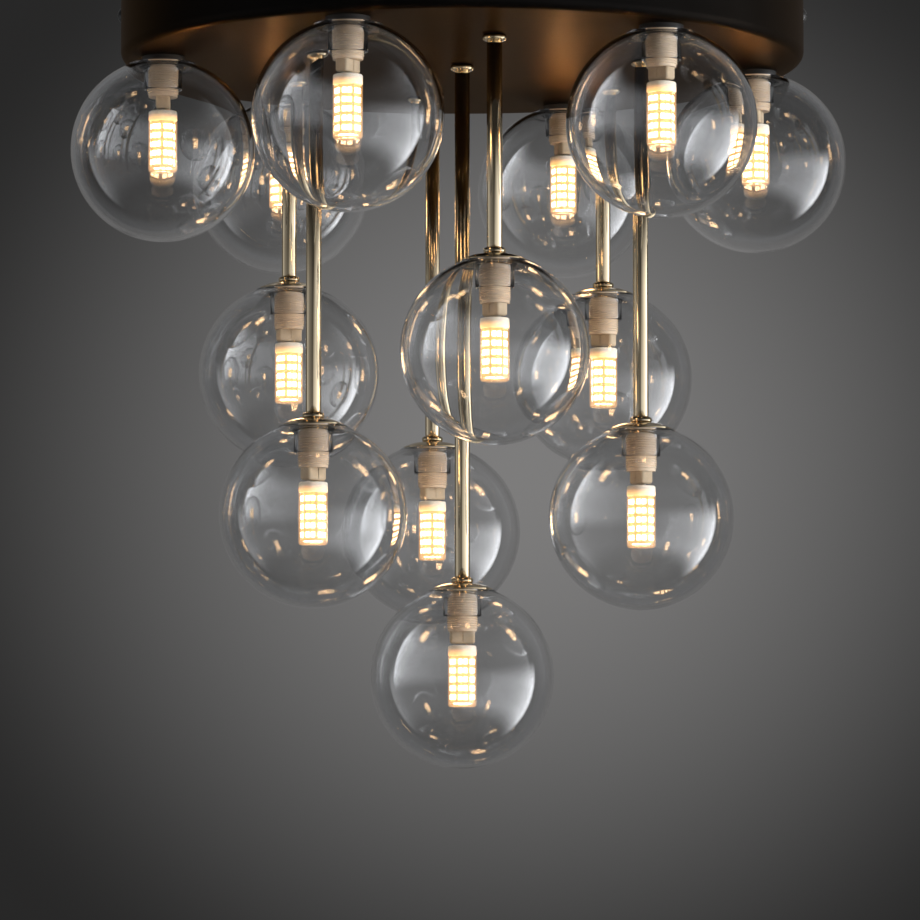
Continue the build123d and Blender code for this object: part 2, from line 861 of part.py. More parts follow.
def earth_lug():
    """Lying on z = 0, the ring's centre at the origin and the barrel along +X."""
    ring = Cylinder(lug_radius, lug_thickness, align=(Align.CENTER, Align.CENTER, Align.MIN))
    neck = Pos(lug_barrel_start / 2, 0, lug_thickness / 2) * Box(
        lug_barrel_start, lug_neck_width, lug_thickness
    )
    barrel = Pos(lug_barrel_start, 0, lug_axis()) * Rot(0, 90, 0) * Cylinder(
        lug_barrel_radius, lug_barrel_length, align=(Align.CENTER, Align.CENTER, Align.MIN)
    )
    bore = Pos(lug_barrel_start, 0, lug_axis()) * Rot(0, 90, 0) * Cylinder(
        lead_radius + thread_clearance, 3 * lug_barrel_length
    )
    hole = Cylinder(earth_stud_radius + thread_clearance, 4 * lug_thickness)
    return ring + neck + (barrel - bore) - hole


def bracket_lug_places():
    """Lugs under the bracket: the first's barrel along +Y, the second's along +X."""
    x, y = earth_screw_place
    hanging_over = Rot(180, 0, 0)
    first = Pos(x, y, -strap_sheet) * Rot(0, 0, 90) * hanging_over
    second = Pos(x, y, -strap_sheet - lug_thickness) * hanging_over
    return [first, second]


def earth_lugs():
    lug = earth_lug()
    lugs = [place * lug for place in bracket_lug_places()]
    lugs.append(Pos(*earth_stud_place, canopy_floor) * lug)
    return lugs


def earth_leads():
    """One lead from the block to the bracket's screw, one from there to the canopy's stud."""
    screw_x, screw_y = earth_screw_place
    stud_x, stud_y = earth_stud_place
    start = lug_barrel_start
    first_z = -strap_sheet - lug_axis()
    second_z = first_z - lug_thickness
    stud_z = canopy_floor + lug_axis()
    pole = block_port(1, -earth_lead_reach)
    to_bracket = lead([
        block_port(1, splitter_port_depth),
        pole,
        (screw_x, pole[1], first_z),
        (screw_x, screw_y + start, first_z),
    ], "earth to bracket")
    loop_x = stud_x + earth_loop_reach
    to_canopy = lead([
        (screw_x + start, screw_y, second_z),
        (loop_x, screw_y, second_z),
        (loop_x, stud_y, stud_z),
        (stud_x + start, stud_y, stud_z),
    ], "earth to canopy")
    return [to_bracket, to_canopy]


def earth_screw():
    """Hexagon screw up into the bracket, through both lugs."""
    x, y = earth_screw_place
    head_top = -strap_sheet - 2 * lug_thickness
    head = Pos(0, 0, head_top - earth_nut_height) * extrude(
        RegularPolygon(earth_nut_across_flats / math.sqrt(3), 6), amount=earth_nut_height
    )
    shank = Pos(0, 0, head_top) * Cylinder(
        earth_stud_radius - thread_clearance,
        -head_top - thread_clearance,
        align=(Align.CENTER, Align.CENTER, Align.MIN),
    )
    return Pos(x, y, 0) * (head + shank)


def earth_nut():
    nut = hex_nut(earth_nut_across_flats, earth_nut_height, earth_stud_radius + thread_clearance)
    return Pos(*earth_stud_place, canopy_floor + lug_thickness) * nut


def main():
    os.makedirs("parts", exist_ok=True)
    places = lamp_places()
    globe = glass_globe()
    sleeve = thread_sleeve()
    holder = ceramic_holder()
    clip = holder_clip()
    lamp_parts = [lamp_base(), lamp_cover(), lamp_core()]
    for side in (-1, 1):
        lamp_parts.append(Pos(side * pin_spacing / 2, 0, 0) * lamp_pin())

    sleeves, holders, clips, nuts, washers = [], [], [], [], []
    upper_collars, lower_collars, caps, cap_nuts, spacers, nipples = [], [], [], [], [], []
    lock_nut = hex_nut(nut_across_flats, lock_nut_height, rod_radius + thread_clearance)
    washer = tube(washer_radius, rod_radius + canopy_hole_clearance, 0, washer_thickness)
    upper_collar = rounded_ring(
        upper_collar_radius, rod_radius + thread_clearance, upper_collar_height
    )
    lower_collar = rounded_ring(
        lower_collar_radius, rod_radius + thread_clearance, lower_collar_height
    )
    cap = rod_cap()
    spacer = tube(spacer_radius, sleeve_crest_radius + spacer_clearance, -spacer_thickness, 0)

    for name, x, y, seat in places:
        at = Pos(x, y, 0)
        turn = Rot(0, 0, holder_turns[name])
        sleeve_top = sleeve_top_at(seat)
        holder_bottom = holder_bottom_at(seat)
        write_node("globe_" + name, [at * Pos(0, 0, seat - globe_below_seat) * globe])
        lamp_top = Pos(0, 0, holder_bottom - lamp_gap)
        write_node("bulb_" + name, [at * lamp_top * turn * piece for piece in lamp_parts])
        sleeves.append(at * Pos(0, 0, sleeve_top) * turn * sleeve)
        holders.append(at * Pos(0, 0, holder_bottom) * turn * holder)
        for side in (-1, 1):
            clip_place = Pos(side * pin_spacing / 2, 0, holder_bottom + clip_depth)
            clips.append(at * turn * clip_place * clip)
        nuts.append(at * Pos(0, 0, canopy_floor + washer_thickness) * lock_nut)
        washers.append(at * Pos(0, 0, canopy_floor) * washer)
        rod_end = sleeve_top - sleeve_top_wall - rod_end_reach
        rod = at * tube(rod_radius, rod_bore_radius, rod_end, thread_top)
        if hanging(seat):
            write_node("rod_" + name, [rod])
            upper_collars.append(at * Pos(0, 0, canopy_underside - upper_collar_height) * upper_collar)
            lower_collars.append(at * Pos(0, 0, seat) * lower_collar)
            caps.append(at * Pos(0, 0, seat) * cap)
            cap_nuts.append(at * Pos(0, 0, seat - cap_sheet - lock_nut_height) * lock_nut)
        else:
            nipples.append(rod)
            spacers.append(at * Pos(0, 0, seat) * spacer)

    write_node("canopy_pan", [canopy_pan()])
    write_node("ceiling_bracket", [ceiling_bracket()])
    screw = Pos(canopy_radius, 0, -side_screw_drop) * side_screw()
    screws = [Rot(0, 0, index * side_screw_turn) * screw for index in range(side_screw_count)]
    write_node("side_screws", screws)
    write_node("thread_sleeves", sleeves)
    write_node("ceramic_holders", holders)
    write_node("holder_clips", clips)
    write_node("lock_nuts", nuts)
    write_node("lock_washers", washers)
    write_node("upper_collars", upper_collars)
    write_node("lower_collars", lower_collars)
    write_node("rod_caps", caps)
    write_node("cap_nuts", cap_nuts)
    write_node("flush_spacers", spacers)
    write_node("flush_nipples", nipples)
    splitter = lead_splitter()
    pad = splitter_pad()
    write_node("lead_splitters", [Rot(0, 0, turn) * splitter for turn in splitter_turns()])
    write_node("splitter_pads", [Rot(0, 0, turn) * pad for turn in splitter_turns()])
    write_node("terminal_block", [terminal_block()])
    write_node("terminal_screws", terminal_screws())
    write_node("block_screws", block_screws())
    live, neutral = make_leads()
    write_node("live_leads", live)
    write_node("neutral_leads", neutral)
    write_node("earth_leads", earth_leads())
    write_node("earth_lugs", earth_lugs())
    write_node("earth_screw", [earth_screw()])
    write_node("earth_nut", [earth_nut()])


main()
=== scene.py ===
import math

import bpy
from mathutils import Matrix, Vector


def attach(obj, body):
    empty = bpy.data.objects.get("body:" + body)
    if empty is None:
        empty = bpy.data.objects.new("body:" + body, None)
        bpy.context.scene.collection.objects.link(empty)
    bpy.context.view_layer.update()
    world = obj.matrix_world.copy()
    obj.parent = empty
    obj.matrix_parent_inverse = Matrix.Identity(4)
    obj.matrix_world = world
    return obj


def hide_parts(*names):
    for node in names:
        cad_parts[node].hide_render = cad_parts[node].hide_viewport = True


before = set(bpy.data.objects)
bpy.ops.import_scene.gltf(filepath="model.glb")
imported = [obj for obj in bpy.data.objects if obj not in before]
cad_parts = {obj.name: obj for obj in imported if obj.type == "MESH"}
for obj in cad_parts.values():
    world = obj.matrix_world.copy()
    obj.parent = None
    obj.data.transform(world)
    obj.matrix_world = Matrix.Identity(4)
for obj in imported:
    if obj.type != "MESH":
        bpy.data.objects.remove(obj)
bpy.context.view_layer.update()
print("frame loaded:", len(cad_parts), "nodes")

# Where the lamps hang, as in the part: metres and degrees from +X
layout = {
    "underside": -0.046,
    "outerRing": 0.198,
    "innerRing": 0.1235,
    "outerStart": -111.0,
    "innerStart": -80.5,
    "perRing": 6,
    "shortDrop": 0.140,
    "longDrop": 0.241,
    "centreDrop": 0.343,
}

# Each holder and its lamp is turned its own way, in degrees
holderTurns = {
    "flush_1": 57.0, "flush_2": 137.0, "flush_3": 75.0, "flush_4": 110.0, "flush_5": 20.0, "flush_6": 90.0,
    "short_1": 129.0, "long_1": 118.0, "short_2": 150.0, "long_2": 30.0, "short_3": 18.0, "long_3": 48.0,
    "centre": 3.0,
}


def ringPlace(radius, degrees):
    turn = math.radians(degrees)
    return radius * math.cos(turn), radius * math.sin(turn)


def lampPlaces():  # name, x, y and seat height of every lamp
    places = []
    step = 360 / layout["perRing"]
    for index in range(layout["perRing"]):
        x, y = ringPlace(layout["outerRing"], layout["outerStart"] + index * step)
        places.append(("flush_%d" % (index + 1), x, y, layout["underside"]))
    for index in range(layout["perRing"]):
        x, y = ringPlace(layout["innerRing"], layout["innerStart"] + index * step)
        kind = "short" if index % 2 == 0 else "long"
        seat = layout["underside"] - layout[kind + "Drop"]
        places.append(("%s_%d" % (kind, index // 2 + 1), x, y, seat))
    places.append(("centre", 0.0, 0.0, layout["underside"] - layout["centreDrop"]))
    return places


places = lampPlaces()
hangingPlaces = [place for place in places if not place[0].startswith("flush")]
flushPlaces = [place for place in places if place[0].startswith("flush")]


# Small helpers for modelling

def deselectAll():
    if bpy.context.object and bpy.context.object.mode != "OBJECT":
        bpy.ops.object.mode_set(mode="OBJECT")
    bpy.ops.object.select_all(action="DESELECT")


def selectOnly(*pieces):
    deselectAll()
    for piece in pieces:
        piece.select_set(True)
    bpy.context.view_layer.objects.active = pieces[0]


def applyModifier(piece, kind, name, **settings):
    selectOnly(piece)
    bpy.ops.object.modifier_add(type=kind)
    modifier = piece.modifiers[-1]
    modifier.name = name
    for key, value in settings.items():
        setattr(modifier, key, value)
    bpy.ops.object.modifier_apply(modifier=name)


def smoothPiece(piece, angle):
    selectOnly(piece)
    bpy.ops.object.shade_smooth_by_angle(angle=math.radians(angle))


def arcPoints(centre, radius, start, end, count):
    points = []  # (radius, height) pairs, angles in degrees from outwards
    for index in range(count + 1):
        turn = math.radians(start + (end - start) * index / count)
        points.append((centre[0] + radius * math.cos(turn), centre[1] + radius * math.sin(turn)))
    return points


def spunPiece(name, outline, steps):  # the outline is drawn by extruding a vertex, then spun about Z
    deselectAll()
    bpy.ops.mesh.primitive_plane_add(size=0.002, location=(0, 0, 0))
    piece = bpy.context.active_object
    piece.name = name
    bpy.ops.object.mode_set(mode="EDIT")
    bpy.ops.mesh.select_mode(type="VERT")
    bpy.ops.mesh.select_all(action="SELECT")
    bpy.ops.mesh.merge(type="CENTER")
    bpy.ops.transform.translate(value=(outline[0][0], 0, outline[0][1]))
    for before, after in zip(outline, outline[1:]):
        step = (after[0] - before[0], 0, after[1] - before[1])
        bpy.ops.mesh.extrude_region_move(TRANSFORM_OT_translate={"value": step})
    bpy.ops.mesh.select_all(action="SELECT")
    bpy.ops.mesh.spin(steps=steps, angle=math.tau, center=(0, 0, 0), axis=(0, 0, 1))
    bpy.ops.mesh.select_all(action="SELECT")
    bpy.ops.mesh.remove_doubles(threshold=0.000002)
    bpy.ops.mesh.normals_make_consistent(inside=False)
    bpy.ops.object.mode_set(mode="OBJECT")
    return piece


def placedCopy(template, name, x, y, z, turn=0.0):  # place and turn go into the copy's own mesh
    selectOnly(template)
    bpy.ops.object.duplicate(linked=False)
    piece = bpy.context.active_object
    piece.name = name
    piece.location = (x, y, z)
    piece.rotation_euler = (0, 0, math.radians(turn))
    bpy.ops.object.transform_apply(location=True, rotation=True, scale=True)
    return piece


def joined(name, pieces):
    selectOnly(*pieces)
    if len(pieces) > 1:
        bpy.ops.object.join()
    piece = bpy.context.active_object
    piece.name = name
    piece.data.name = name
    return piece


def removeTemplate(piece):
    bpy.data.objects.remove(piece)


def finishPiece(piece, body, replaced, material=None):
    if material is not None:
        piece.data.materials.clear()
        piece.data.materials.append(material)
    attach(piece, body)
    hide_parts(*replaced)


# Materials

def newMaterial(name):
    material = bpy.data.materials.new(name)
    material.use_nodes = True
    nodes = material.node_tree.nodes
    return material, nodes, material.node_tree.links, nodes["Principled BSDF"]


def addNoise(nodes, links, scale, detail, stretch=(1, 1, 1)):
    where = nodes.new("ShaderNodeTexCoord")
    mapping = nodes.new("ShaderNodeMapping")
    mapping.inputs["Scale"].default_value = stretch
    noise = nodes.new("ShaderNodeTexNoise")
    noise.inputs["Scale"].default_value = scale
    noise.inputs["Detail"].default_value = detail
    links.new(where.outputs["Object"], mapping.inputs["Vector"])
    links.new(mapping.outputs["Vector"], noise.inputs["Vector"])
    return noise


def addRamp(nodes, links, source, low, high, lowPlace=0.3, highPlace=0.7):
    ramp = nodes.new("ShaderNodeValToRGB")
    ramp.color_ramp.elements[0].position = lowPlace
    ramp.color_ramp.elements[1].position = highPlace
    ramp.color_ramp.elements[0].color = low
    ramp.color_ramp.elements[1].color = high
    links.new(source, ramp.inputs["Fac"])
    return ramp


def addRange(nodes, links, source, low, high):
    spread = nodes.new("ShaderNodeMapRange")
    spread.inputs["To Min"].default_value = low
    spread.inputs["To Max"].default_value = high
    links.new(source, spread.inputs["Value"])
    return spread


def addBump(nodes, links, source, shader, strength, distance):
    bump = nodes.new("ShaderNodeBump")
    bump.inputs["Strength"].default_value = strength
    bump.inputs["Distance"].default_value = distance
    links.new(source, bump.inputs["Height"])
    links.new(bump.outputs["Normal"], shader.inputs["Normal"])


surfaceDefaults = {
    "grainDetail": 6.0,
    "cloud": 14.0,
    "cloudDetail": 3.0,
    "depth": 0.0004,
    "softRadius": (0.004, 0.003, 0.002),  # how far red, green and blue light goes in
}


def makeFinish(name, settings):  # colour range, roughness range, metal and the grain of the surface
    material, nodes, links, shader = newMaterial(name)
    settings = {**surfaceDefaults, **settings}
    stretch = settings.get("stretch", (1, 1, 1))
    grain = addNoise(nodes, links, settings["grain"], settings["grainDetail"], stretch)
    cloud = addNoise(nodes, links, settings["cloud"], settings["cloudDetail"])
    colour = addRamp(nodes, links, cloud.outputs["Fac"], (*settings["low"], 1), (*settings["high"], 1))
    links.new(colour.outputs["Color"], shader.inputs["Base Color"])
    rough = addRange(nodes, links, grain.outputs["Fac"], *settings["rough"])
    links.new(rough.outputs["Result"], shader.inputs["Roughness"])
    shader.inputs["Metallic"].default_value = settings.get("metal", 0.0)
    if "sheen" in settings:  # tint of the satin sheen at low angles
        shader.inputs["Specular Tint"].default_value = (*settings["sheen"], 1)
        shader.inputs["Specular IOR Level"].default_value = settings["facing"]
    if "soft" in settings:
        shader.inputs["Subsurface Weight"].default_value = settings["soft"]
        shader.inputs["Subsurface Radius"].default_value = settings["softRadius"]
        shader.inputs["Subsurface Scale"].default_value = 1.0
    if "warmth" in settings:  # light from inside, rising with the piece's own attribute
        warmth = nodes.new("ShaderNodeAttribute")
        warmth.attribute_name = "warmth"
        glow = addRange(nodes, links, warmth.outputs["Fac"], 0.0, settings["warmth"])
        glow.interpolation_type = "SMOOTHSTEP"
        glow.inputs["From Min"].default_value = settings["warmStart"]
        links.new(glow.outputs["Result"], shader.inputs["Emission Strength"])
        shader.inputs["Emission Color"].default_value = (*settings["warmColour"], 1)
    addBump(nodes, links, grain.outputs["Fac"], shader, settings["bump"], settings["depth"])
    return material


finishes = {
    "canopyBlack": {
        "low": (0.0045, 0.0041, 0.0038), "high": (0.0075, 0.0069, 0.0064), "rough": (0.32, 0.40),
        "metal": 0.50, "grain": 900.0, "bump": 0.10, "depth": 0.0002, "cloud": 9.0,
        "sheen": (0.96, 0.72, 0.54), "facing": 0.0,
    },
    "screwBlack": {
        "low": (0.012, 0.012, 0.012), "high": (0.022, 0.021, 0.020), "rough": (0.26, 0.38),
        "grain": 600.0, "bump": 0.08, "depth": 0.0002,
    },
    "brass": {
        "low": (0.79, 0.64, 0.42), "high": (0.85, 0.71, 0.49), "rough": (0.055, 0.12), "metal": 1.0,
        "grain": 240.0, "stretch": (1, 1, 0.06), "bump": 0.02, "depth": 0.0001, "cloud": 30.0,
    },
    "zinc": {
        "low": (0.48, 0.48, 0.5), "high": (0.66, 0.66, 0.67), "rough": (0.25, 0.45), "metal": 1.0,
        "grain": 180.0, "bump": 0.1, "cloud": 60.0,
    },
    "tin": {
        "low": (0.6, 0.58, 0.55), "high": (0.74, 0.72, 0.69), "rough": (0.25, 0.4), "metal": 1.0,
        "grain": 400.0, "bump": 0.06, "cloud": 80.0,
    },
    "bronze": {
        "low": (0.6, 0.38, 0.2), "high": (0.72, 0.48, 0.27), "rough": (0.2, 0.35), "metal": 1.0,
        "grain": 400.0, "bump": 0.05, "cloud": 80.0,
    },
    # black partly painted shade: stands in for the holders' shadow on the canopy over each flush mouth
    "spacerAndShadeBlack": {
        "low": (0.010, 0.010, 0.010), "high": (0.017, 0.017, 0.017), "rough": (0.4, 0.55),
        "grain": 700.0, "bump": 0.1,
    },
    "sleevePlastic": {
        "low": (0.52, 0.40, 0.29), "high": (0.72, 0.60, 0.47), "rough": (0.16, 0.28),
        "grain": 260.0, "bump": 0.05, "soft": 0.12, "cloud": 45.0,
    },
    "ceramic": {
        "low": (0.42, 0.34, 0.24), "high": (0.52, 0.43, 0.32), "rough": (0.45, 0.6),
        "grain": 1100.0, "bump": 0.18, "depth": 0.0002, "cloud": 120.0,
    },
    "lampBase": {
        "low": (0.76, 0.71, 0.62), "high": (0.84, 0.80, 0.72), "rough": (0.22, 0.32),
        "grain": 300.0, "bump": 0.03, "soft": 0.2, "cloud": 60.0,
        "warmth": 1.2, "warmStart": 0.2, "warmColour": (1.0, 0.49, 0.12),
    },
    "blockPlastic": {
        "low": (0.78, 0.76, 0.7), "high": (0.86, 0.85, 0.8), "rough": (0.4, 0.55),
        "grain": 500.0, "bump": 0.1,
    },
    "splitterPlastic": {
        "low": (0.5, 0.5, 0.5), "high": (0.6, 0.6, 0.59), "rough": (0.3, 0.45),
        "grain": 500.0, "bump": 0.1,
    },
    "foam": {
        "low": (0.03, 0.03, 0.03), "high": (0.08, 0.08, 0.08), "rough": (0.8, 0.95),
        "grain": 900.0, "bump": 0.6,
    },
    "brownLead": {
        "low": (0.16, 0.06, 0.02), "high": (0.22, 0.09, 0.035), "rough": (0.4, 0.55),
        "grain": 500.0, "bump": 0.1,
    },
    "blueLead": {
        "low": (0.03, 0.13, 0.42), "high": (0.05, 0.18, 0.52), "rough": (0.4, 0.55),
        "grain": 500.0, "bump": 0.1,
    },
}
materials = {name: makeFinish(name, settings) for name, settings in finishes.items()}

earthLead = {
    "green": (0.05, 0.30, 0.04, 1),
    "yellow": (0.80, 0.66, 0.04, 1),
    "bands": 42.0,
    "bandEdge": (0.48, 0.52),
    "uneven": 0.4,
    "grain": 500.0,
    "grainDetail": 4.0,
    "rough": (0.4, 0.55),
}


def earthLeadMaterial():  # green with yellow bands
    material, nodes, links, shader = newMaterial("earthLead")
    where = nodes.new("ShaderNodeTexCoord")
    wave = nodes.new("ShaderNodeTexWave")
    wave.inputs["Scale"].default_value = earthLead["bands"]
    wave.inputs["Distortion"].default_value = earthLead["uneven"]
    links.new(where.outputs["Object"], wave.inputs["Vector"])
    colours = (earthLead["green"], earthLead["yellow"])
    bands = addRamp(nodes, links, wave.outputs["Fac"], *colours, *earthLead["bandEdge"])
    links.new(bands.outputs["Color"], shader.inputs["Base Color"])
    grain = addNoise(nodes, links, earthLead["grain"], earthLead["grainDetail"])
    rough = addRange(nodes, links, grain.outputs["Fac"], *earthLead["rough"])
    links.new(rough.outputs["Result"], shader.inputs["Roughness"])
    return material


def glassMaterial(name, settings):  # its shadow lets the lamps' light through
    material, nodes, links, shader = newMaterial(name)
    shader.inputs["Base Color"].default_value = (*settings["colour"], 1)
    shader.inputs["Transmission Weight"].default_value = 1.0
    shader.inputs["IOR"].default_value = settings["ior"]
    shader.inputs["Specular Tint"].default_value = (*settings["mirror"], 1)  # above 1 mirrors more
    if "glow" in settings:
        shader.inputs["Emission Color"].default_value = (*settings["glow"], 1)
        shader.inputs["Emission Strength"].default_value = settings["glowStrength"]
    swirl = addNoise(nodes, links, settings["swirl"], 2.0, settings["stretch"])
    rough = addRange(nodes, links, swirl.outputs["Fac"], 0.0, settings["rough"])
    links.new(rough.outputs["Result"], shader.inputs["Roughness"])
    addBump(nodes, links, swirl.outputs["Fac"], shader, settings["bump"], settings["depth"])
    clear = nodes.new("ShaderNodeBsdfTransparent")
    clear.inputs["Color"].default_value = (*settings["shadow"], 1)
    path = nodes.new("ShaderNodeLightPath")
    choice = nodes.new("ShaderNodeMixShader")
    links.new(path.outputs["Is Shadow Ray"], choice.inputs["Fac"])
    links.new(shader.outputs["BSDF"], choice.inputs[1])
    links.new(clear.outputs["BSDF"], choice.inputs[2])
    links.new(choice.outputs["Shader"], nodes["Material Output"].inputs["Surface"])
    return material


glasses = {
    "clearGlass": {
        "colour": (0.995, 0.998, 1.0), "ior": 1.52, "mirror": (1.75, 1.75, 1.75),
        "swirl": 16.0, "stretch": (1, 1, 0.5), "rough": 0.004, "bump": 0.08, "depth": 0.004,
        "shadow": (0.93, 0.93, 0.93),
    },
    "lampCover": {
        "colour": (1.0, 0.995, 0.985), "ior": 1.42, "mirror": (1.0, 1.0, 1.0),
        "swirl": 60.0, "stretch": (1, 1, 0.5), "rough": 0.06, "bump": 0.02, "depth": 0.001,
        "shadow": (0.95, 0.94, 0.92), "glow": (1.0, 0.50, 0.18), "glowStrength": 0.20,
    },
}
for name, settings in glasses.items():
    materials[name] = glassMaterial(name, settings)
materials["earthLead"] = earthLeadMaterial()


def glowMaterial(name, settings):  # warm white light, a little uneven
    material, nodes, links, shader = newMaterial(name)
    cloud = addNoise(nodes, links, settings["cloud"], 2.0)
    colour = addRamp(nodes, links, cloud.outputs["Fac"], (*settings["low"], 1), (*settings["high"], 1))
    links.new(colour.outputs["Color"], shader.inputs["Emission Color"])
    shader.inputs["Base Color"].default_value = (*settings["base"], 1)
    shader.inputs["Emission Strength"].default_value = settings["strength"]
    shader.inputs["Roughness"].default_value = settings["rough"]
    return material


glows = {
    "chipGlow": {
        "low": (1.0, 0.63, 0.32), "high": (1.0, 0.70, 0.40), "base": (0.8, 0.7, 0.4),
        "cloud": 400.0, "rough": 0.5, "strength": 48.0,
    },
    "coreGlow": {
        "low": (1.0, 0.58, 0.22), "high": (1.0, 0.66, 0.30), "base": (0.16, 0.10, 0.05),
        "cloud": 200.0, "rough": 0.5, "strength": 0.55,
    },
}
for name, settings in glows.items():
    materials[name] = glowMaterial(name, settings)
print("materials made:", len(materials))


# Glass globes: ball, flat mouth ring and neck tube in one wall

globe = {
    "radius": 0.060,
    "wall": 0.0022,
    "mouthRadius": 0.0192,
    "mouthThickness": 0.0024,
    "mouthBelowSeat": 0.0044,
    "mouthRound": 0.0011,
    "neckBore": 0.01055,
    "neckWall": 0.0020,
    "neckLength": 0.0165,
    "neckFlare": 0.0040,
    "neckRound": 0.0008,
    "steps": 112,
}
mouthHeight = math.sqrt(globe["radius"] ** 2 - globe["mouthRadius"] ** 2)


def modelGlobe():
    outer = globe["radius"]
    inner = outer - globe["wall"]
    mouthUnder = mouthHeight - globe["mouthThickness"]
    neckOuter = globe["neckBore"] + globe["neckWall"]
    neckEnd = mouthHeight - globe["neckLength"]
    flare = globe["neckFlare"]
    lip = globe["neckRound"]
    corner = globe["mouthRound"]
    topAngle = math.degrees(math.asin((mouthHeight - corner) / outer))
    innerAngle = math.degrees(math.asin(mouthUnder / inner))
    shoulder = outer * math.cos(math.radians(topAngle))
    outline = arcPoints((0, 0), outer, -90, topAngle, 54)
    outline += arcPoints((shoulder - corner, mouthHeight - corner), corner, 20, 90, 5)
    outline += arcPoints((globe["neckBore"] + lip, mouthHeight - lip), lip, 90, 180, 4)
    outline += arcPoints((neckOuter - globe["neckWall"] / 2, neckEnd), globe["neckWall"] / 2, 180, 360, 8)
    outline += arcPoints((neckOuter + flare, mouthUnder - flare), flare, 180, 90, 8)
    outline += arcPoints((0, 0), inner, innerAngle, -90, 50)
    piece = spunPiece("globeTemplate", outline, globe["steps"])
    smoothPiece(piece, 50)
    return piece


globeTemplate = modelGlobe()
for name, x, y, seat in places:
    centre = seat - globe["mouthBelowSeat"] - mouthHeight
    piece = placedCopy(globeTemplate, "glassGlobe_" + name, x, y, centre)
    finishPiece(piece, "globe_" + name, ["globe_" + name], materials["clearGlass"])
removeTemplate(globeTemplate)
print("globes made:", len(places))


# LED capsule lamps: white base with two looped pins, six-sided core with chips, clear cover

lamp = {
    "radius": 0.0093,
    "length": 0.0403,
    "baseHeight": 0.0068,
    "baseRound": 0.0014,
    "baseFace": 0.001,
    "baseLip": 0.0002,
    "baseStep": (0.0007, 0.0004),
    "coverWall": 0.0008,
    "coverRound": 0.0020,
    "coreSide": 0.0081,
    "coreEndGap": 0.0012,
    "coreBevel": 0.0003,
    "coverGap": 0.00005,
    "chipBevel": 0.0002,
    "chipRows": 5,
    "chipPitch": 0.0058,
    "chipSize": (0.0025, 0.0032, 0.0006),
    "chipGap": 0.0008,
    "endChip": 0.0026,
    "endRing": 0.0045,
    "endCount": 6,
    "pinSpacing": 0.0090,
    "pinWidth": 0.0024,
    "pinWire": 0.0004,
    "pinLength": 0.0080,
    "pinSides": 10,
    "pinSteps": 8,
    "steps": 56,
}


def modelLampBase():
    radius, height, corner = lamp["radius"], lamp["baseHeight"], lamp["baseRound"]
    lip, (above, below) = lamp["baseLip"], lamp["baseStep"]
    outline = [(0.0, 0.0), (radius - corner - lamp["baseFace"], 0.0)]
    outline += arcPoints((radius - corner, -corner), corner, 90, 0, 6)
    outline += [(radius, -height + above), (radius - lip, -height + below), (radius - lip, -height)]
    outline += [(0.0, -height)]
    piece = spunPiece("lampBase", outline, lamp["steps"])
    smoothPiece(piece, 40)
    piece.data.materials.append(materials["lampBase"])
    warmth = piece.data.attributes.new("warmth", "FLOAT", "POINT")
    for vertex in piece.data.vertices:  # the chips shine through the lower edge
        warmth.data[vertex.index].value = min(1.0, max(0.0, -vertex.co.z / height))
    return piece


def modelLampPin(side):  # wire extruded up, spun over half a turn and extruded down again
    wire = lamp["pinWire"]
    half = (lamp["pinWidth"] - 2 * wire) / 2
    rise = lamp["pinLength"] - half - wire
    middle = side * lamp["pinSpacing"] / 2
    deselectAll()
    bpy.ops.mesh.primitive_circle_add(vertices=lamp["pinSides"], radius=wire, location=(middle - half, 0, 0))
    piece = bpy.context.active_object
    bpy.ops.object.transform_apply(location=True, rotation=True, scale=True)
    bpy.ops.object.mode_set(mode="EDIT")
    bpy.ops.mesh.select_all(action="SELECT")
    bpy.ops.mesh.extrude_region_move(TRANSFORM_OT_translate={"value": (0, 0, rise)})
    bpy.ops.mesh.spin(steps=lamp["pinSteps"], angle=math.pi, center=(middle, 0, rise), axis=(0, 1, 0))
    bpy.ops.mesh.extrude_region_move(TRANSFORM_OT_translate={"value": (0, 0, -rise)})
    bpy.ops.mesh.select_all(action="SELECT")
    bpy.ops.mesh.remove_doubles(threshold=0.000002)
    bpy.ops.mesh.normals_make_consistent(inside=False)
    bpy.ops.object.mode_set(mode="OBJECT")
    smoothPiece(piece, 60)
    piece.data.materials.append(materials["tin"])
    return piece


def roundedBlock(name, size, place, turn, bevel):  # turned about Z through the piece's axis
    deselectAll()
    bpy.ops.mesh.primitive_cube_add(size=1, location=(0, 0, 0))
    piece = bpy.context.active_object
    piece.name = name
    piece.scale = size
    bpy.ops.object.transform_apply(location=True, rotation=True, scale=True)
    bpy.ops.object.mode_set(mode="EDIT")
    bpy.ops.mesh.select_all(action="SELECT")
    bpy.ops.mesh.bevel(offset=bevel, segments=1)
    bpy.ops.object.mode_set(mode="OBJECT")
    turned = Matrix.Rotation(math.radians(turn), 4, "Z")
    piece.location = turned @ Vector(place)
    piece.rotation_euler = (0, 0, math.radians(turn))
    bpy.ops.object.transform_apply(location=True, rotation=True, scale=True)
    return piece


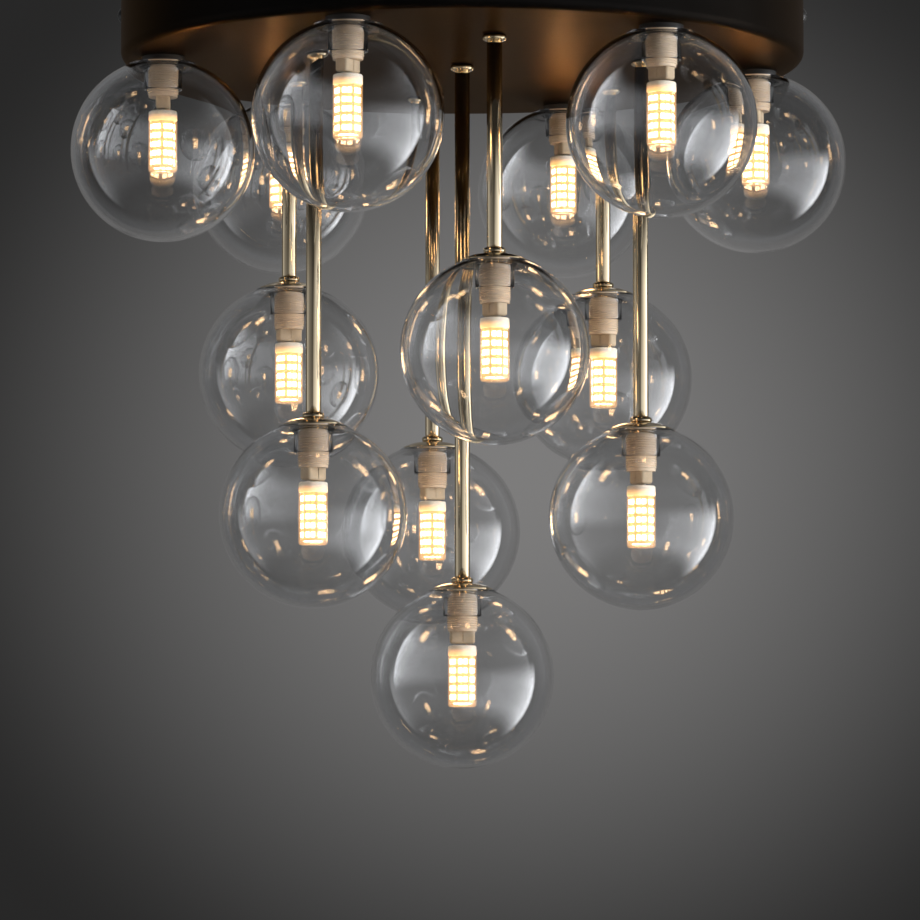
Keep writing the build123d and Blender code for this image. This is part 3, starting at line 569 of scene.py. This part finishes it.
def modelLampCore():
    end = lamp["length"] - lamp["coverWall"] - lamp["coreEndGap"] - lamp["chipSize"][2]
    length = end - lamp["baseHeight"]
    deselectAll()
    bpy.ops.mesh.primitive_cylinder_add(
        vertices=6, radius=lamp["coreSide"], depth=length, location=(0, 0, -end + length / 2),
        rotation=(0, 0, math.radians(30)),
    )
    core = bpy.context.active_object
    bpy.ops.object.transform_apply(location=True, rotation=True, scale=True)
    bpy.ops.object.mode_set(mode="EDIT")
    bpy.ops.mesh.select_all(action="SELECT")
    bpy.ops.mesh.bevel(offset=lamp["coreBevel"], segments=2)
    bpy.ops.object.mode_set(mode="OBJECT")
    core.data.materials.append(materials["coreGlow"])
    chips = []
    apothem = lamp["coreSide"] * math.sqrt(0.75)
    first = -lamp["baseHeight"] - length / 2 + lamp["chipPitch"] * (lamp["chipRows"] - 1) / 2
    wide, tall, thick = lamp["chipSize"]
    bevel = lamp["chipBevel"]
    for side in range(6):
        for row in range(lamp["chipRows"]):
            for half in (-1, 1):
                aside = half * (wide + lamp["chipGap"]) / 2
                place = (apothem + thick / 2, aside, first - row * lamp["chipPitch"])
                chips.append(roundedBlock("chip", (thick, wide, tall), place, 30 + 60 * side, bevel))
    across = lamp["endChip"]
    chips.append(roundedBlock("chip", (across, across, thick), (0, 0, -end - thick / 2), 0, bevel))
    for index in range(lamp["endCount"]):
        place = (lamp["endRing"], 0, -end - thick / 2)
        turn = 360 * index / lamp["endCount"]
        chips.append(roundedBlock("chip", (across, across, thick), place, turn, bevel))
    chip = joined("chips", chips)
    chip.data.materials.append(materials["chipGlow"])
    return [core, chip]


def modelLampCover():
    radius, wall, corner = lamp["radius"], lamp["coverWall"], lamp["coverRound"]
    top, bottom = -lamp["baseHeight"] - lamp["coverGap"], -lamp["length"]
    outline = [(radius - wall, top), (radius, top)]
    outline += arcPoints((radius - corner, bottom + corner), corner, 0, -90, 7)
    outline += [(0.0, bottom), (0.0, bottom + wall)]
    inside = corner - wall
    outline += arcPoints((radius - wall - inside, bottom + wall + inside), inside, -90, 0, 6)
    outline += [(radius - wall, top)]
    piece = spunPiece("coverTemplate", outline, lamp["steps"])
    smoothPiece(piece, 50)
    return piece


sleeve = {
    "crest": 0.0102,
    "depth": 0.0007,
    "pitch": 0.0015,
    "length": 0.0267,
    "plainTop": 0.0040,
    "ribShares": (0.3, 0.42, 0.56, 0.86),
    "ribEase": 0.0001,
    "wall": 0.00075,
    "topWall": 0.0040,
    "floor": 0.0015,
    "rodHole": 0.0052,
    "edge": 0.0003,
    "nutGap": 0.0050,
    "steps": 72,
}
holder = {
    "width": 0.0162,
    "depth": 0.0088,
    "corner": 0.0018,
    "shown": 0.0080,
    "lampGap": 0.0010,
    "inSleeve": 0.0015,
    "footBevel": 0.0005,
    "grooveWidth": 0.0010,
    "grooveDepth": 0.0004,
    "grooveBevel": 0.00012,
    "slotSize": (0.0034, 0.0023, 0.016),
    "slotBevel": 0.0002,
}


def sleeveTop(name, seat):
    return seat if name.startswith("flush") else seat - sleeve["nutGap"]


def holderBottom(name, seat):
    return sleeveTop(name, seat) - sleeve["length"] - holder["shown"]


lampPieces = [modelLampBase(), modelLampPin(-1), modelLampPin(1), *modelLampCore()]
lampTemplate = joined("lampTemplate", lampPieces)
coverTemplate = modelLampCover()
for name, x, y, seat in places:
    top = holderBottom(name, seat) - holder["lampGap"]
    inside = placedCopy(lampTemplate, "ledLamp_" + name, x, y, top, holderTurns[name])
    finishPiece(inside, "bulb_" + name, ["bulb_" + name])
    cover = placedCopy(coverTemplate, "lampCover_" + name, x, y, top)
    finishPiece(cover, "bulb_" + name, ["bulb_" + name], materials["lampCover"])
removeTemplate(lampTemplate)
removeTemplate(coverTemplate)
print("lamps made:", len(places))


# Thread sleeves and ceramic holders

def modelSleeve():
    crest = sleeve["crest"]
    root = crest - sleeve["depth"]
    bore = root - sleeve["wall"]
    pitch = sleeve["pitch"]
    hole, edge = sleeve["rodHole"], sleeve["edge"]
    outline = [(hole, 0.0), (root - edge, 0.0), (root, -edge), (root, -sleeve["plainTop"])]
    ribs = int((sleeve["length"] - sleeve["plainTop"] - sleeve["floor"] / 2) / pitch)
    ease = crest - sleeve["ribEase"]
    for index in range(ribs):
        start = -sleeve["plainTop"] - index * pitch
        rise, top, fall, end = (start - pitch * share for share in sleeve["ribShares"])
        outline += [(ease, rise), (crest, top), (ease, fall), (root, end)]
    low = -sleeve["length"]
    outline += [(root, low + edge), (root - edge, low), (0.0, low), (0.0, low + sleeve["floor"])]
    outline += [(bore, low + sleeve["floor"]), (bore, -sleeve["topWall"]), (hole, -sleeve["topWall"])]
    outline += [(hole, 0.0)]
    piece = spunPiece("sleeveTemplate", outline, sleeve["steps"])
    smoothPiece(piece, 30)
    return piece


def modelHolder():  # the shown block, with a groove on each broad face and slots for the pins
    deselectAll()
    tall = holder["shown"] + sleeve["floor"] + holder["inSleeve"]
    bpy.ops.mesh.primitive_cube_add(size=1, location=(0, 0, tall / 2))
    piece = bpy.context.active_object
    piece.scale = (holder["width"], holder["depth"], tall)
    bpy.ops.object.transform_apply(location=True, rotation=True, scale=True)
    bpy.ops.object.mode_set(mode="EDIT")
    bpy.ops.mesh.select_all(action="DESELECT")
    bpy.ops.object.mode_set(mode="OBJECT")
    for edge in piece.data.edges:
        ends = [piece.data.vertices[index].co for index in edge.vertices]
        edge.select = abs(ends[0].z - ends[1].z) > tall / 2
    bpy.ops.object.mode_set(mode="EDIT")
    bpy.ops.mesh.select_mode(type="EDGE")
    bpy.ops.mesh.bevel(offset=holder["corner"], segments=6)
    bpy.ops.mesh.select_all(action="DESELECT")
    bpy.ops.object.mode_set(mode="OBJECT")
    for edge in piece.data.edges:
        edge.select = all(piece.data.vertices[index].co.z < 0.0001 for index in edge.vertices)
    bpy.ops.object.mode_set(mode="EDIT")
    bpy.ops.mesh.bevel(offset=holder["footBevel"], segments=3)
    bpy.ops.object.mode_set(mode="OBJECT")
    deselectAll()
    cutters = []
    for side in (-1, 1):
        size = (holder["grooveWidth"], 2 * holder["grooveDepth"], 3 * tall)
        place = (0, side * holder["depth"] / 2, 0)
        cutters.append(roundedBlock("groove", size, place, 0, holder["grooveBevel"]))
    for side in (-1, 1):
        place = (side * lamp["pinSpacing"] / 2, 0, 0)
        cutters.append(roundedBlock("slot", holder["slotSize"], place, 0, holder["slotBevel"]))
    cutter = joined("cutter", cutters)
    applyModifier(piece, "BOOLEAN", "cut", object=cutter, operation="DIFFERENCE", solver="EXACT")
    bpy.data.objects.remove(cutter)
    smoothPiece(piece, 30)
    return piece


sleeveTemplate = modelSleeve()
holderTemplate = modelHolder()
sleeves, holders = [], []
for name, x, y, seat in places:
    sleeves.append(placedCopy(sleeveTemplate, "sleeve", x, y, sleeveTop(name, seat), holderTurns[name]))
    holders.append(placedCopy(holderTemplate, "holder", x, y, holderBottom(name, seat), holderTurns[name]))
threadSleeves = joined("threadSleeves", sleeves)
ceramicHolders = joined("ceramicHolders", holders)
finishPiece(threadSleeves, "frame", ["thread_sleeves"], materials["sleevePlastic"])
finishPiece(ceramicHolders, "frame", ["ceramic_holders"], materials["ceramic"])
removeTemplate(sleeveTemplate)
removeTemplate(holderTemplate)
print("sleeves and holders made:", len(places))


# Brass: rods, collars and caps

brasswork = {
    "rodRadius": 0.0050,
    "rodBore": 0.0040,
    "rodTop": -0.0365,
    "rodFoot": 0.0045,
    "upperRadius": 0.0078,
    "upperHeight": 0.0042,
    "lowerRadius": 0.0072,
    "lowerHeight": 0.0038,
    "capRadius": 0.0196,
    "capFlat": 0.0088,
    "capHeight": 0.0041,
    "capSheet": 0.0010,
    "capEdge": 0.0007,
    "capCrown": 0.00055,
    "capUnder": 0.8,
    "capPoints": 12,
    "capSteps": 96,
    "chamfer": 0.0003,
    "boreGap": 0.00005,
    "collarRound": 0.42,
    "steps": 64,
}


def modelRod(low, high):
    outer, bore, edge = brasswork["rodRadius"], brasswork["rodBore"], brasswork["chamfer"]
    outline = [(bore, low), (outer - edge, low), (outer, low + edge), (outer, high - edge)]
    outline += [(outer - edge, high), (bore, high), (bore, low)]
    piece = spunPiece("rod", outline, brasswork["steps"])
    smoothPiece(piece, 50)
    return piece


def modelCollar(radius, height):
    inner = brasswork["rodRadius"] + brasswork["boreGap"]
    corner = height * brasswork["collarRound"]
    outline = [(inner, 0.0), (radius - corner, 0.0)]
    outline += arcPoints((radius - corner, corner), corner, -90, 0, 6)[1:]
    outline += arcPoints((radius - corner, height - corner), corner, 0, 90, 6)
    outline += [(inner, height), (inner, 0.0)]
    piece = spunPiece("collarTemplate", outline, brasswork["steps"])
    smoothPiece(piece, 50)
    return piece


def capBow(share):  # highest half way between the flat middle and the rim
    return brasswork["capCrown"] * 4 * share * (1 - share)


def modelCap():  # a shallow dish: flat middle, bowed side and a thin rim
    rim, flat, sheet = brasswork["capRadius"], brasswork["capFlat"], brasswork["capSheet"]
    inner = brasswork["rodRadius"] + brasswork["boreGap"]
    foot = -brasswork["capHeight"]
    edge = foot + brasswork["capEdge"]
    shares = [index / brasswork["capPoints"] for index in range(brasswork["capPoints"] + 1)]
    outline = [(inner, 0.0), (flat, 0.0)]
    outline += [(flat + (rim - flat) * share, edge * share + capBow(share)) for share in shares[1:]]
    outline += [(rim, foot), (rim - sheet, foot)]
    for share in reversed(shares[:-1]):
        height = -sheet + (foot + sheet) * share + capBow(share) * brasswork["capUnder"]
        outline.append((flat + (rim - sheet - flat) * share, height))
    outline += [(inner, -sheet), (inner, 0.0)]
    piece = spunPiece("capTemplate", outline, brasswork["capSteps"])
    smoothPiece(piece, 50)
    return piece


upperTemplate = modelCollar(brasswork["upperRadius"], brasswork["upperHeight"])
lowerTemplate = modelCollar(brasswork["lowerRadius"], brasswork["lowerHeight"])
capTemplate = modelCap()
uppers, lowers, caps = [], [], []
for name, x, y, seat in hangingPlaces:
    foot = sleeveTop(name, seat) - brasswork["rodFoot"]
    rodTemplate = modelRod(foot, brasswork["rodTop"])
    rod = placedCopy(rodTemplate, "brassRod_" + name, x, y, 0.0)
    removeTemplate(rodTemplate)
    finishPiece(rod, "frame", ["rod_" + name], materials["brass"])
    uppers.append(placedCopy(upperTemplate, "upper", x, y, layout["underside"] - brasswork["upperHeight"]))
    lowers.append(placedCopy(lowerTemplate, "lower", x, y, seat))
    caps.append(placedCopy(capTemplate, "cap", x, y, seat))
finishPiece(joined("upperCollars", uppers), "frame", ["upper_collars"], materials["brass"])
finishPiece(joined("lowerCollars", lowers), "frame", ["lower_collars"], materials["brass"])
finishPiece(joined("rodCaps", caps), "frame", ["rod_caps"], materials["brass"])
for template in (upperTemplate, lowerTemplate, capTemplate):
    removeTemplate(template)
print("rods, collars and caps made:", len(hangingPlaces))


# Black spacers over the mouths of the flush globes. Their size and black stand partly for a real gasket and
# partly for painted shade: the shadow the holders cast on the canopy above each mouth.

spacer = {
    "radius": 0.0140,
    "bore": 0.0105,
    "height": 0.0041,
    "round": 0.0006,
    "steps": 64,
}


def modelSpacer():
    radius, bore, low, corner = spacer["radius"], spacer["bore"], -spacer["height"], spacer["round"]
    outline = [(bore, low), (radius - corner, low)]
    outline += arcPoints((radius - corner, low + corner), corner, -90, 0, 4)[1:]
    outline += [(radius, 0.0), (bore, 0.0), (bore, low)]
    piece = spunPiece("spacerTemplate", outline, spacer["steps"])
    smoothPiece(piece, 50)
    return piece


spacerTemplate = modelSpacer()
spacers = [placedCopy(spacerTemplate, "spacer", x, y, seat) for name, x, y, seat in flushPlaces]
flushSpacers = joined("flushSpacers", spacers)
# the spacers' black is partly painted shade over the flush mouths
finishPiece(flushSpacers, "frame", ["flush_spacers"], materials["spacerAndShadeBlack"])
removeTemplate(spacerTemplate)


# Canopy: spun drum with its holes bored, and the domed side screws

canopy = {
    "radius": 0.225,
    "height": 0.046,
    "sheet": 0.0015,
    "lowerRound": 0.006,
    "upperRound": 0.008,
    "floorEdge": 0.004,
    "holeRadius": 0.0052,
    "holeDepth": 0.01,
    "holeSteps": 32,
    "screwHole": 0.0023,
    "screwDepth": 0.02,
    "screwDrop": 0.0133,
    "screwCount": 4,
    "studPlace": (0.126, 0.0),
    "studRadius": 0.0020,
    "studLength": 0.010,
    "steps": 192,
}
screwTurns = [index * 360 / canopy["screwCount"] for index in range(canopy["screwCount"])]


def boringTool(radius, depth, x, y, z, alongX=False, turn=0.0):
    deselectAll()
    tilt = (0, math.radians(90), math.radians(turn)) if alongX else (0, 0, 0)
    bpy.ops.mesh.primitive_cylinder_add(
        vertices=canopy["holeSteps"], radius=radius, depth=depth, location=(x, y, z), rotation=tilt
    )
    bpy.ops.object.transform_apply(location=True, rotation=True, scale=True)
    return bpy.context.active_object


def modelCanopy():
    radius, sheet = canopy["radius"], canopy["sheet"]
    low, high = -canopy["height"], 0.0
    lowRound, highRound = canopy["lowerRound"], canopy["upperRound"]
    outline = [(0.0, low), (radius - lowRound - canopy["floorEdge"], low)]
    outline += arcPoints((radius - lowRound, low + lowRound), lowRound, -90, 0, 8)
    outline += arcPoints((radius - highRound, high - highRound), highRound, 0, 90, 8)
    outline += arcPoints((radius - highRound, high - highRound), highRound - sheet, 90, 0, 8)
    outline += arcPoints((radius - lowRound, low + lowRound), lowRound - sheet, 0, -90, 8)
    outline += [(0.0, low + sheet)]
    piece = spunPiece("canopyShell", outline, canopy["steps"])
    tools = []
    for name, x, y, seat in places:
        tools.append(boringTool(canopy["holeRadius"], canopy["holeDepth"], x, y, low))
    bore, depth = canopy["screwHole"], canopy["screwDepth"]
    for turn in screwTurns:
        x, y = ringPlace(radius, turn)
        tools.append(boringTool(bore, depth, x, y, -canopy["screwDrop"], True, turn))
    tool = joined("boringTools", tools)
    applyModifier(piece, "BOOLEAN", "bore", object=tool, operation="DIFFERENCE", solver="EXACT")
    bpy.data.objects.remove(tool)
    stud = canopy["studPlace"]
    studHeight = low + sheet + canopy["studLength"] / 2
    studPiece = boringTool(canopy["studRadius"], canopy["studLength"], stud[0], stud[1], studHeight)
    piece = joined("canopyShell", [piece, studPiece])
    smoothPiece(piece, 32)
    applyModifier(piece, "WEIGHTED_NORMAL", "evenNormals", keep_sharp=True)
    return piece


finishPiece(modelCanopy(), "frame", ["canopy_pan"], materials["canopyBlack"])

sideScrew = {
    "head": 0.0052,
    "rise": 0.0030,
    "shank": 0.00198,
    "length": 0.016,
    "point": 0.0004,
    "slot": 0.0012,
    "slotBevel": 0.0001,
    "steps": 40,
}


def modelSideScrew():
    head, rise, shank = sideScrew["head"], sideScrew["rise"], sideScrew["shank"]
    length, point = sideScrew["length"], sideScrew["point"]
    ball = (head**2 + rise**2) / (2 * rise)
    edge = math.degrees(math.asin((ball - rise) / ball))
    outline = [(0.0, -length), (shank - point, -length), (shank, -length + point), (shank, 0.0)]
    outline += [(head, 0.0), *arcPoints((0, rise - ball), ball, edge, 90, 10)[1:]]
    piece = spunPiece("sideScrew", outline, sideScrew["steps"])
    for turn in (0, 90):
        size = (head, sideScrew["slot"], rise)
        cutter = roundedBlock("slot", size, (0, 0, rise), turn, sideScrew["slotBevel"])
        applyModifier(piece, "BOOLEAN", "cut", object=cutter, operation="DIFFERENCE", solver="EXACT")
        bpy.data.objects.remove(cutter)
    smoothPiece(piece, 40)
    selectOnly(piece)
    piece.rotation_euler = (0, math.radians(90), 0)
    piece.location = (canopy["radius"], 0, -canopy["screwDrop"])
    bpy.ops.object.transform_apply(location=True, rotation=True, scale=True)
    return piece


screwTemplate = modelSideScrew()
screws = [placedCopy(screwTemplate, "screw", 0, 0, 0, turn) for turn in screwTurns]
finishPiece(joined("sideScrews", screws), "frame", ["side_screws"], materials["screwBlack"])
removeTemplate(screwTemplate)
print("canopy and side screws made")


# The CAD nodes that stay as they are get their finishes

nodeFinishes = {
    "ceiling_bracket": "zinc",
    "lock_nuts": "zinc",
    "lock_washers": "zinc",
    "flush_nipples": "zinc",
    "cap_nuts": "brass",
    "earth_screw": "zinc",
    "earth_nut": "brass",
    "earth_lugs": "tin",
    "block_screws": "zinc",
    "terminal_screws": "zinc",
    "terminal_block": "blockPlastic",
    "lead_splitters": "splitterPlastic",
    "splitter_pads": "foam",
    "live_leads": "brownLead",
    "neutral_leads": "blueLead",
    "earth_leads": "earthLead",
    "holder_clips": "bronze",
}
for node, name in nodeFinishes.items():
    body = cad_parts[node]
    body.data.materials.clear()
    body.data.materials.append(materials[name])
print("finishes given to", len(nodeFinishes), "nodes")


# Floor, light and camera

backdrop = {
    "behind": 0.9,
    "centre": (0.048, -0.247),
    "spread": (0.571, 0.555),
    "size": 2.8,
    "tint": (1.0, 0.985, 0.975),
    "bright": 0.205,
    "dark": 0.021,
    "mirrorLift": 0.12,
    "fade": (1.15, 2.2),
}
mirrored = {
    "tint": (0.97, 0.99, 1.03),
    "front": 1.8,
    "edge": 3.2,
    "edgeSteep": 5.0,
    "frontSteep": 0.5,
    "end": 0.22,
    "endFade": 0.04,
    "behindFade": 0.4,
    "low": (-0.84, -0.50),
    "high": (-0.12, 0.24),
    "left": 0.16,
    "leftFade": (-0.12, 0.12),
    "dark": 0.025,
    "behind": 0.15,
}
studio = {
    "floorHeight": -4.9,
    "floorSize": 240.0,
    "floorColour": (0.72, 0.71, 0.70),
    "floorRough": 0.8,
    "ambient": (0.32, 0.315, 0.315),
    "ambientBehind": 0.12,
    "ambientFade": (-0.2, 0.5),
    "around": (0.105, 0.1035, 0.1025),
    "lightLeft": 15.0,
    "lightRight": 115.0,
    "lightSize": (0.9, 2.2),
    "lightPlace": (2.3, -0.9, -0.1),
    "lightAim": (0, 0, -0.25),
}


def mathStep(nodes, links, operation, *sources):
    step = nodes.new("ShaderNodeMath")
    step.operation = operation
    for socket, source in zip(step.inputs, sources):
        if isinstance(source, (int, float)):
            socket.default_value = source
        else:
            links.new(source, socket)
    return step.outputs["Value"]


def rangeStep(nodes, links, source, fromValues, toValues, kind="SMOOTHSTEP"):
    spread = nodes.new("ShaderNodeMapRange")
    spread.interpolation_type = kind
    spread.inputs["From Min"].default_value, spread.inputs["From Max"].default_value = fromValues
    spread.inputs["To Min"].default_value, spread.inputs["To Max"].default_value = toValues
    links.new(source, spread.inputs["Value"])
    return spread.outputs["Result"]


def mixStep(nodes, links, share, first, second):
    choice = nodes.new("ShaderNodeMixShader")
    links.new(share, choice.inputs["Fac"])
    links.new(first, choice.inputs[1])
    links.new(second, choice.inputs[2])
    return choice.outputs["Shader"]


def seenStep(nodes, links):  # 1 where a ray is seen, also in glass or a mirror, and 0 where it only lights
    path = nodes.new("ShaderNodeLightPath")
    seen = mathStep(nodes, links, "MAXIMUM", path.outputs["Is Camera Ray"], path.outputs["Is Glossy Ray"])
    seen = mathStep(nodes, links, "MAXIMUM", seen, path.outputs["Is Transmission Ray"])
    lights = mathStep(nodes, links, "MINIMUM", 1.0, path.outputs["Diffuse Depth"])
    seen = mathStep(nodes, links, "MULTIPLY", seen, mathStep(nodes, links, "SUBTRACT", 1.0, lights))
    return seen, mathStep(nodes, links, "MINIMUM", 1.0, path.outputs["Glossy Depth"])


def layFloor():  # pale floor, left out of mirror images
    deselectAll()
    bpy.ops.mesh.primitive_plane_add(size=studio["floorSize"], location=(0, 0, studio["floorHeight"]))
    floor = bpy.context.active_object
    floor.name = "floor"
    material, nodes, links, shader = newMaterial("floorPaint")
    shader.inputs["Base Color"].default_value = (*studio["floorColour"], 1)
    shader.inputs["Roughness"].default_value = studio["floorRough"]
    mirror = seenStep(nodes, links)[1]
    clear = nodes.new("ShaderNodeBsdfTransparent").outputs["BSDF"]
    shown = mixStep(nodes, links, mirror, shader.outputs["BSDF"], clear)
    links.new(shown, nodes["Material Output"].inputs["Surface"])
    floor.data.materials.append(material)


def hangBackdrop():  # a round glow on a dark wall that fades out and can't be seen from behind
    deselectAll()
    x, z = backdrop["centre"]
    bpy.ops.mesh.primitive_plane_add(
        size=backdrop["size"], location=(x, backdrop["behind"], z), rotation=(math.radians(90), 0, 0)
    )
    wall = bpy.context.active_object
    wall.name = "backdrop"
    material, nodes, links, shader = newMaterial("backdropGlow")
    nodes.remove(shader)
    where = nodes.new("ShaderNodeTexCoord")
    mapping = nodes.new("ShaderNodeMapping")
    mapping.inputs["Scale"].default_value = (1 / backdrop["spread"][0], 1 / backdrop["spread"][1], 0)
    links.new(where.outputs["Object"], mapping.inputs["Vector"])
    length = nodes.new("ShaderNodeVectorMath")
    length.operation = "LENGTH"
    links.new(mapping.outputs["Vector"], length.inputs[0])
    away = length.outputs["Value"]
    glow = nodes.new("ShaderNodeEmission")
    glow.inputs["Color"].default_value = (*backdrop["tint"], 1)
    seen, mirror = seenStep(nodes, links)
    strength = rangeStep(nodes, links, away, (0, 1), (backdrop["bright"], backdrop["dark"]))
    lift = rangeStep(nodes, links, away, (0, 1), (0, backdrop["mirrorLift"]))
    strength = mathStep(nodes, links, "ADD", strength, mathStep(nodes, links, "MULTIPLY", lift, mirror))
    links.new(strength, glow.inputs["Strength"])
    back = nodes.new("ShaderNodeNewGeometry").outputs["Backfacing"]
    share = rangeStep(nodes, links, away, backdrop["fade"], (1, 0))
    share = mathStep(nodes, links, "MULTIPLY", share, mathStep(nodes, links, "SUBTRACT", 1.0, back))
    share = mathStep(nodes, links, "MULTIPLY", share, seen)
    clear = nodes.new("ShaderNodeBsdfTransparent").outputs["BSDF"]
    shown = mixStep(nodes, links, share, clear, glow.outputs["Emission"])
    links.new(shown, nodes["Material Output"].inputs["Surface"])
    wall.data.materials.append(material)


def mirroredStrength(nodes, links):  # metal and glass mirror tall soft lights at the sides, dark elsewhere
    split = nodes.new("ShaderNodeSeparateXYZ")
    links.new(nodes.new("ShaderNodeTexCoord").outputs["Object"], split.inputs["Vector"])
    across, along, up = split.outputs["X"], split.outputs["Y"], split.outputs["Z"]
    end = mirrored["end"]
    rise = rangeStep(nodes, links, along, (-1.0, end), (0, 1), "LINEAR")
    front = mathStep(nodes, links, "POWER", rise, mirrored["frontSteep"])
    front = mathStep(nodes, links, "MULTIPLY", front, mirrored["front"])
    edge = mathStep(nodes, links, "POWER", rise, mirrored["edgeSteep"])
    edge = mathStep(nodes, links, "MULTIPLY", edge, mirrored["edge"])
    strength = mathStep(nodes, links, "ADD", front, edge)
    cut = rangeStep(nodes, links, along, (end, end + mirrored["endFade"]), (1, 0))
    low = rangeStep(nodes, links, up, mirrored["low"], (0, 1))
    high = rangeStep(nodes, links, up, mirrored["high"], (1, 0))
    side = rangeStep(nodes, links, across, mirrored["leftFade"], (mirrored["left"], 1))
    for share in (cut, low, high, side):
        strength = mathStep(nodes, links, "MULTIPLY", strength, share)
    behind = (end, end + mirrored["behindFade"])
    rest = rangeStep(nodes, links, along, behind, (mirrored["dark"], mirrored["behind"]))
    return mathStep(nodes, links, "ADD", strength, rest)


def setWorld():
    world = bpy.data.worlds.new("studio")
    bpy.context.scene.world = world
    world.use_nodes = True
    nodes, links = world.node_tree.nodes, world.node_tree.links
    nodes.clear()
    light = nodes.new("ShaderNodeBackground")
    light.inputs["Color"].default_value = (*studio["ambient"], 1)
    split = nodes.new("ShaderNodeSeparateXYZ")
    links.new(nodes.new("ShaderNodeTexCoord").outputs["Object"], split.inputs["Vector"])
    shade = rangeStep(nodes, links, split.outputs["Y"], studio["ambientFade"], (1, studio["ambientBehind"]))
    links.new(shade, light.inputs["Strength"])
    around = nodes.new("ShaderNodeBackground")
    around.inputs["Color"].default_value = (*studio["around"], 1)
    sides = nodes.new("ShaderNodeBackground")
    sides.inputs["Color"].default_value = (*mirrored["tint"], 1)
    links.new(mirroredStrength(nodes, links), sides.inputs["Strength"])
    seen, mirror = seenStep(nodes, links)
    shown = mixStep(nodes, links, mirror, around.outputs["Background"], sides.outputs["Background"])
    output = nodes.new("ShaderNodeOutputWorld")
    links.new(mixStep(nodes, links, seen, light.outputs["Background"], shown), output.inputs["Surface"])


def addSoftbox(name, place, aim, size, power):  # seen only as light, the world holds its mirror image
    data = bpy.data.lights.new(name, "AREA")
    data.shape = "RECTANGLE"
    data.size, data.size_y = size
    data.energy = power
    softbox = bpy.data.objects.new(name, data)
    bpy.context.scene.collection.objects.link(softbox)
    softbox.location = place
    softbox.rotation_euler = (Vector(aim) - Vector(place)).to_track_quat("-Z", "Y").to_euler()
    softbox.visible_camera = False
    softbox.visible_glossy = False
    softbox.visible_transmission = False


def lightStudio():
    across, along, up = studio["lightPlace"]
    aim, size = studio["lightAim"], studio["lightSize"]
    addSoftbox("softboxLeft", (-across, along, up), aim, size, studio["lightLeft"])
    addSoftbox("softboxRight", (across, along, up), aim, size, studio["lightRight"])


camera = {
    "place": (-0.0015, -2.948, -0.5182),
    "pitch": 4.08,
    "lens": 176.1,
    "sensor": 36.0,
}


def placeCamera():
    data = bpy.data.cameras.new("camera")
    data.lens = camera["lens"]
    data.sensor_width = camera["sensor"]
    body = bpy.data.objects.new("camera", data)
    bpy.context.scene.collection.objects.link(body)
    body.location = camera["place"]
    body.rotation_euler = (math.radians(90 + camera["pitch"]), 0, 0)
    bpy.context.scene.camera = body


layFloor()
hangBackdrop()
setWorld()
lightStudio()
placeCamera()
bpy.context.scene.view_settings.view_transform = "Standard"
print("studio ready")

deselectAll()
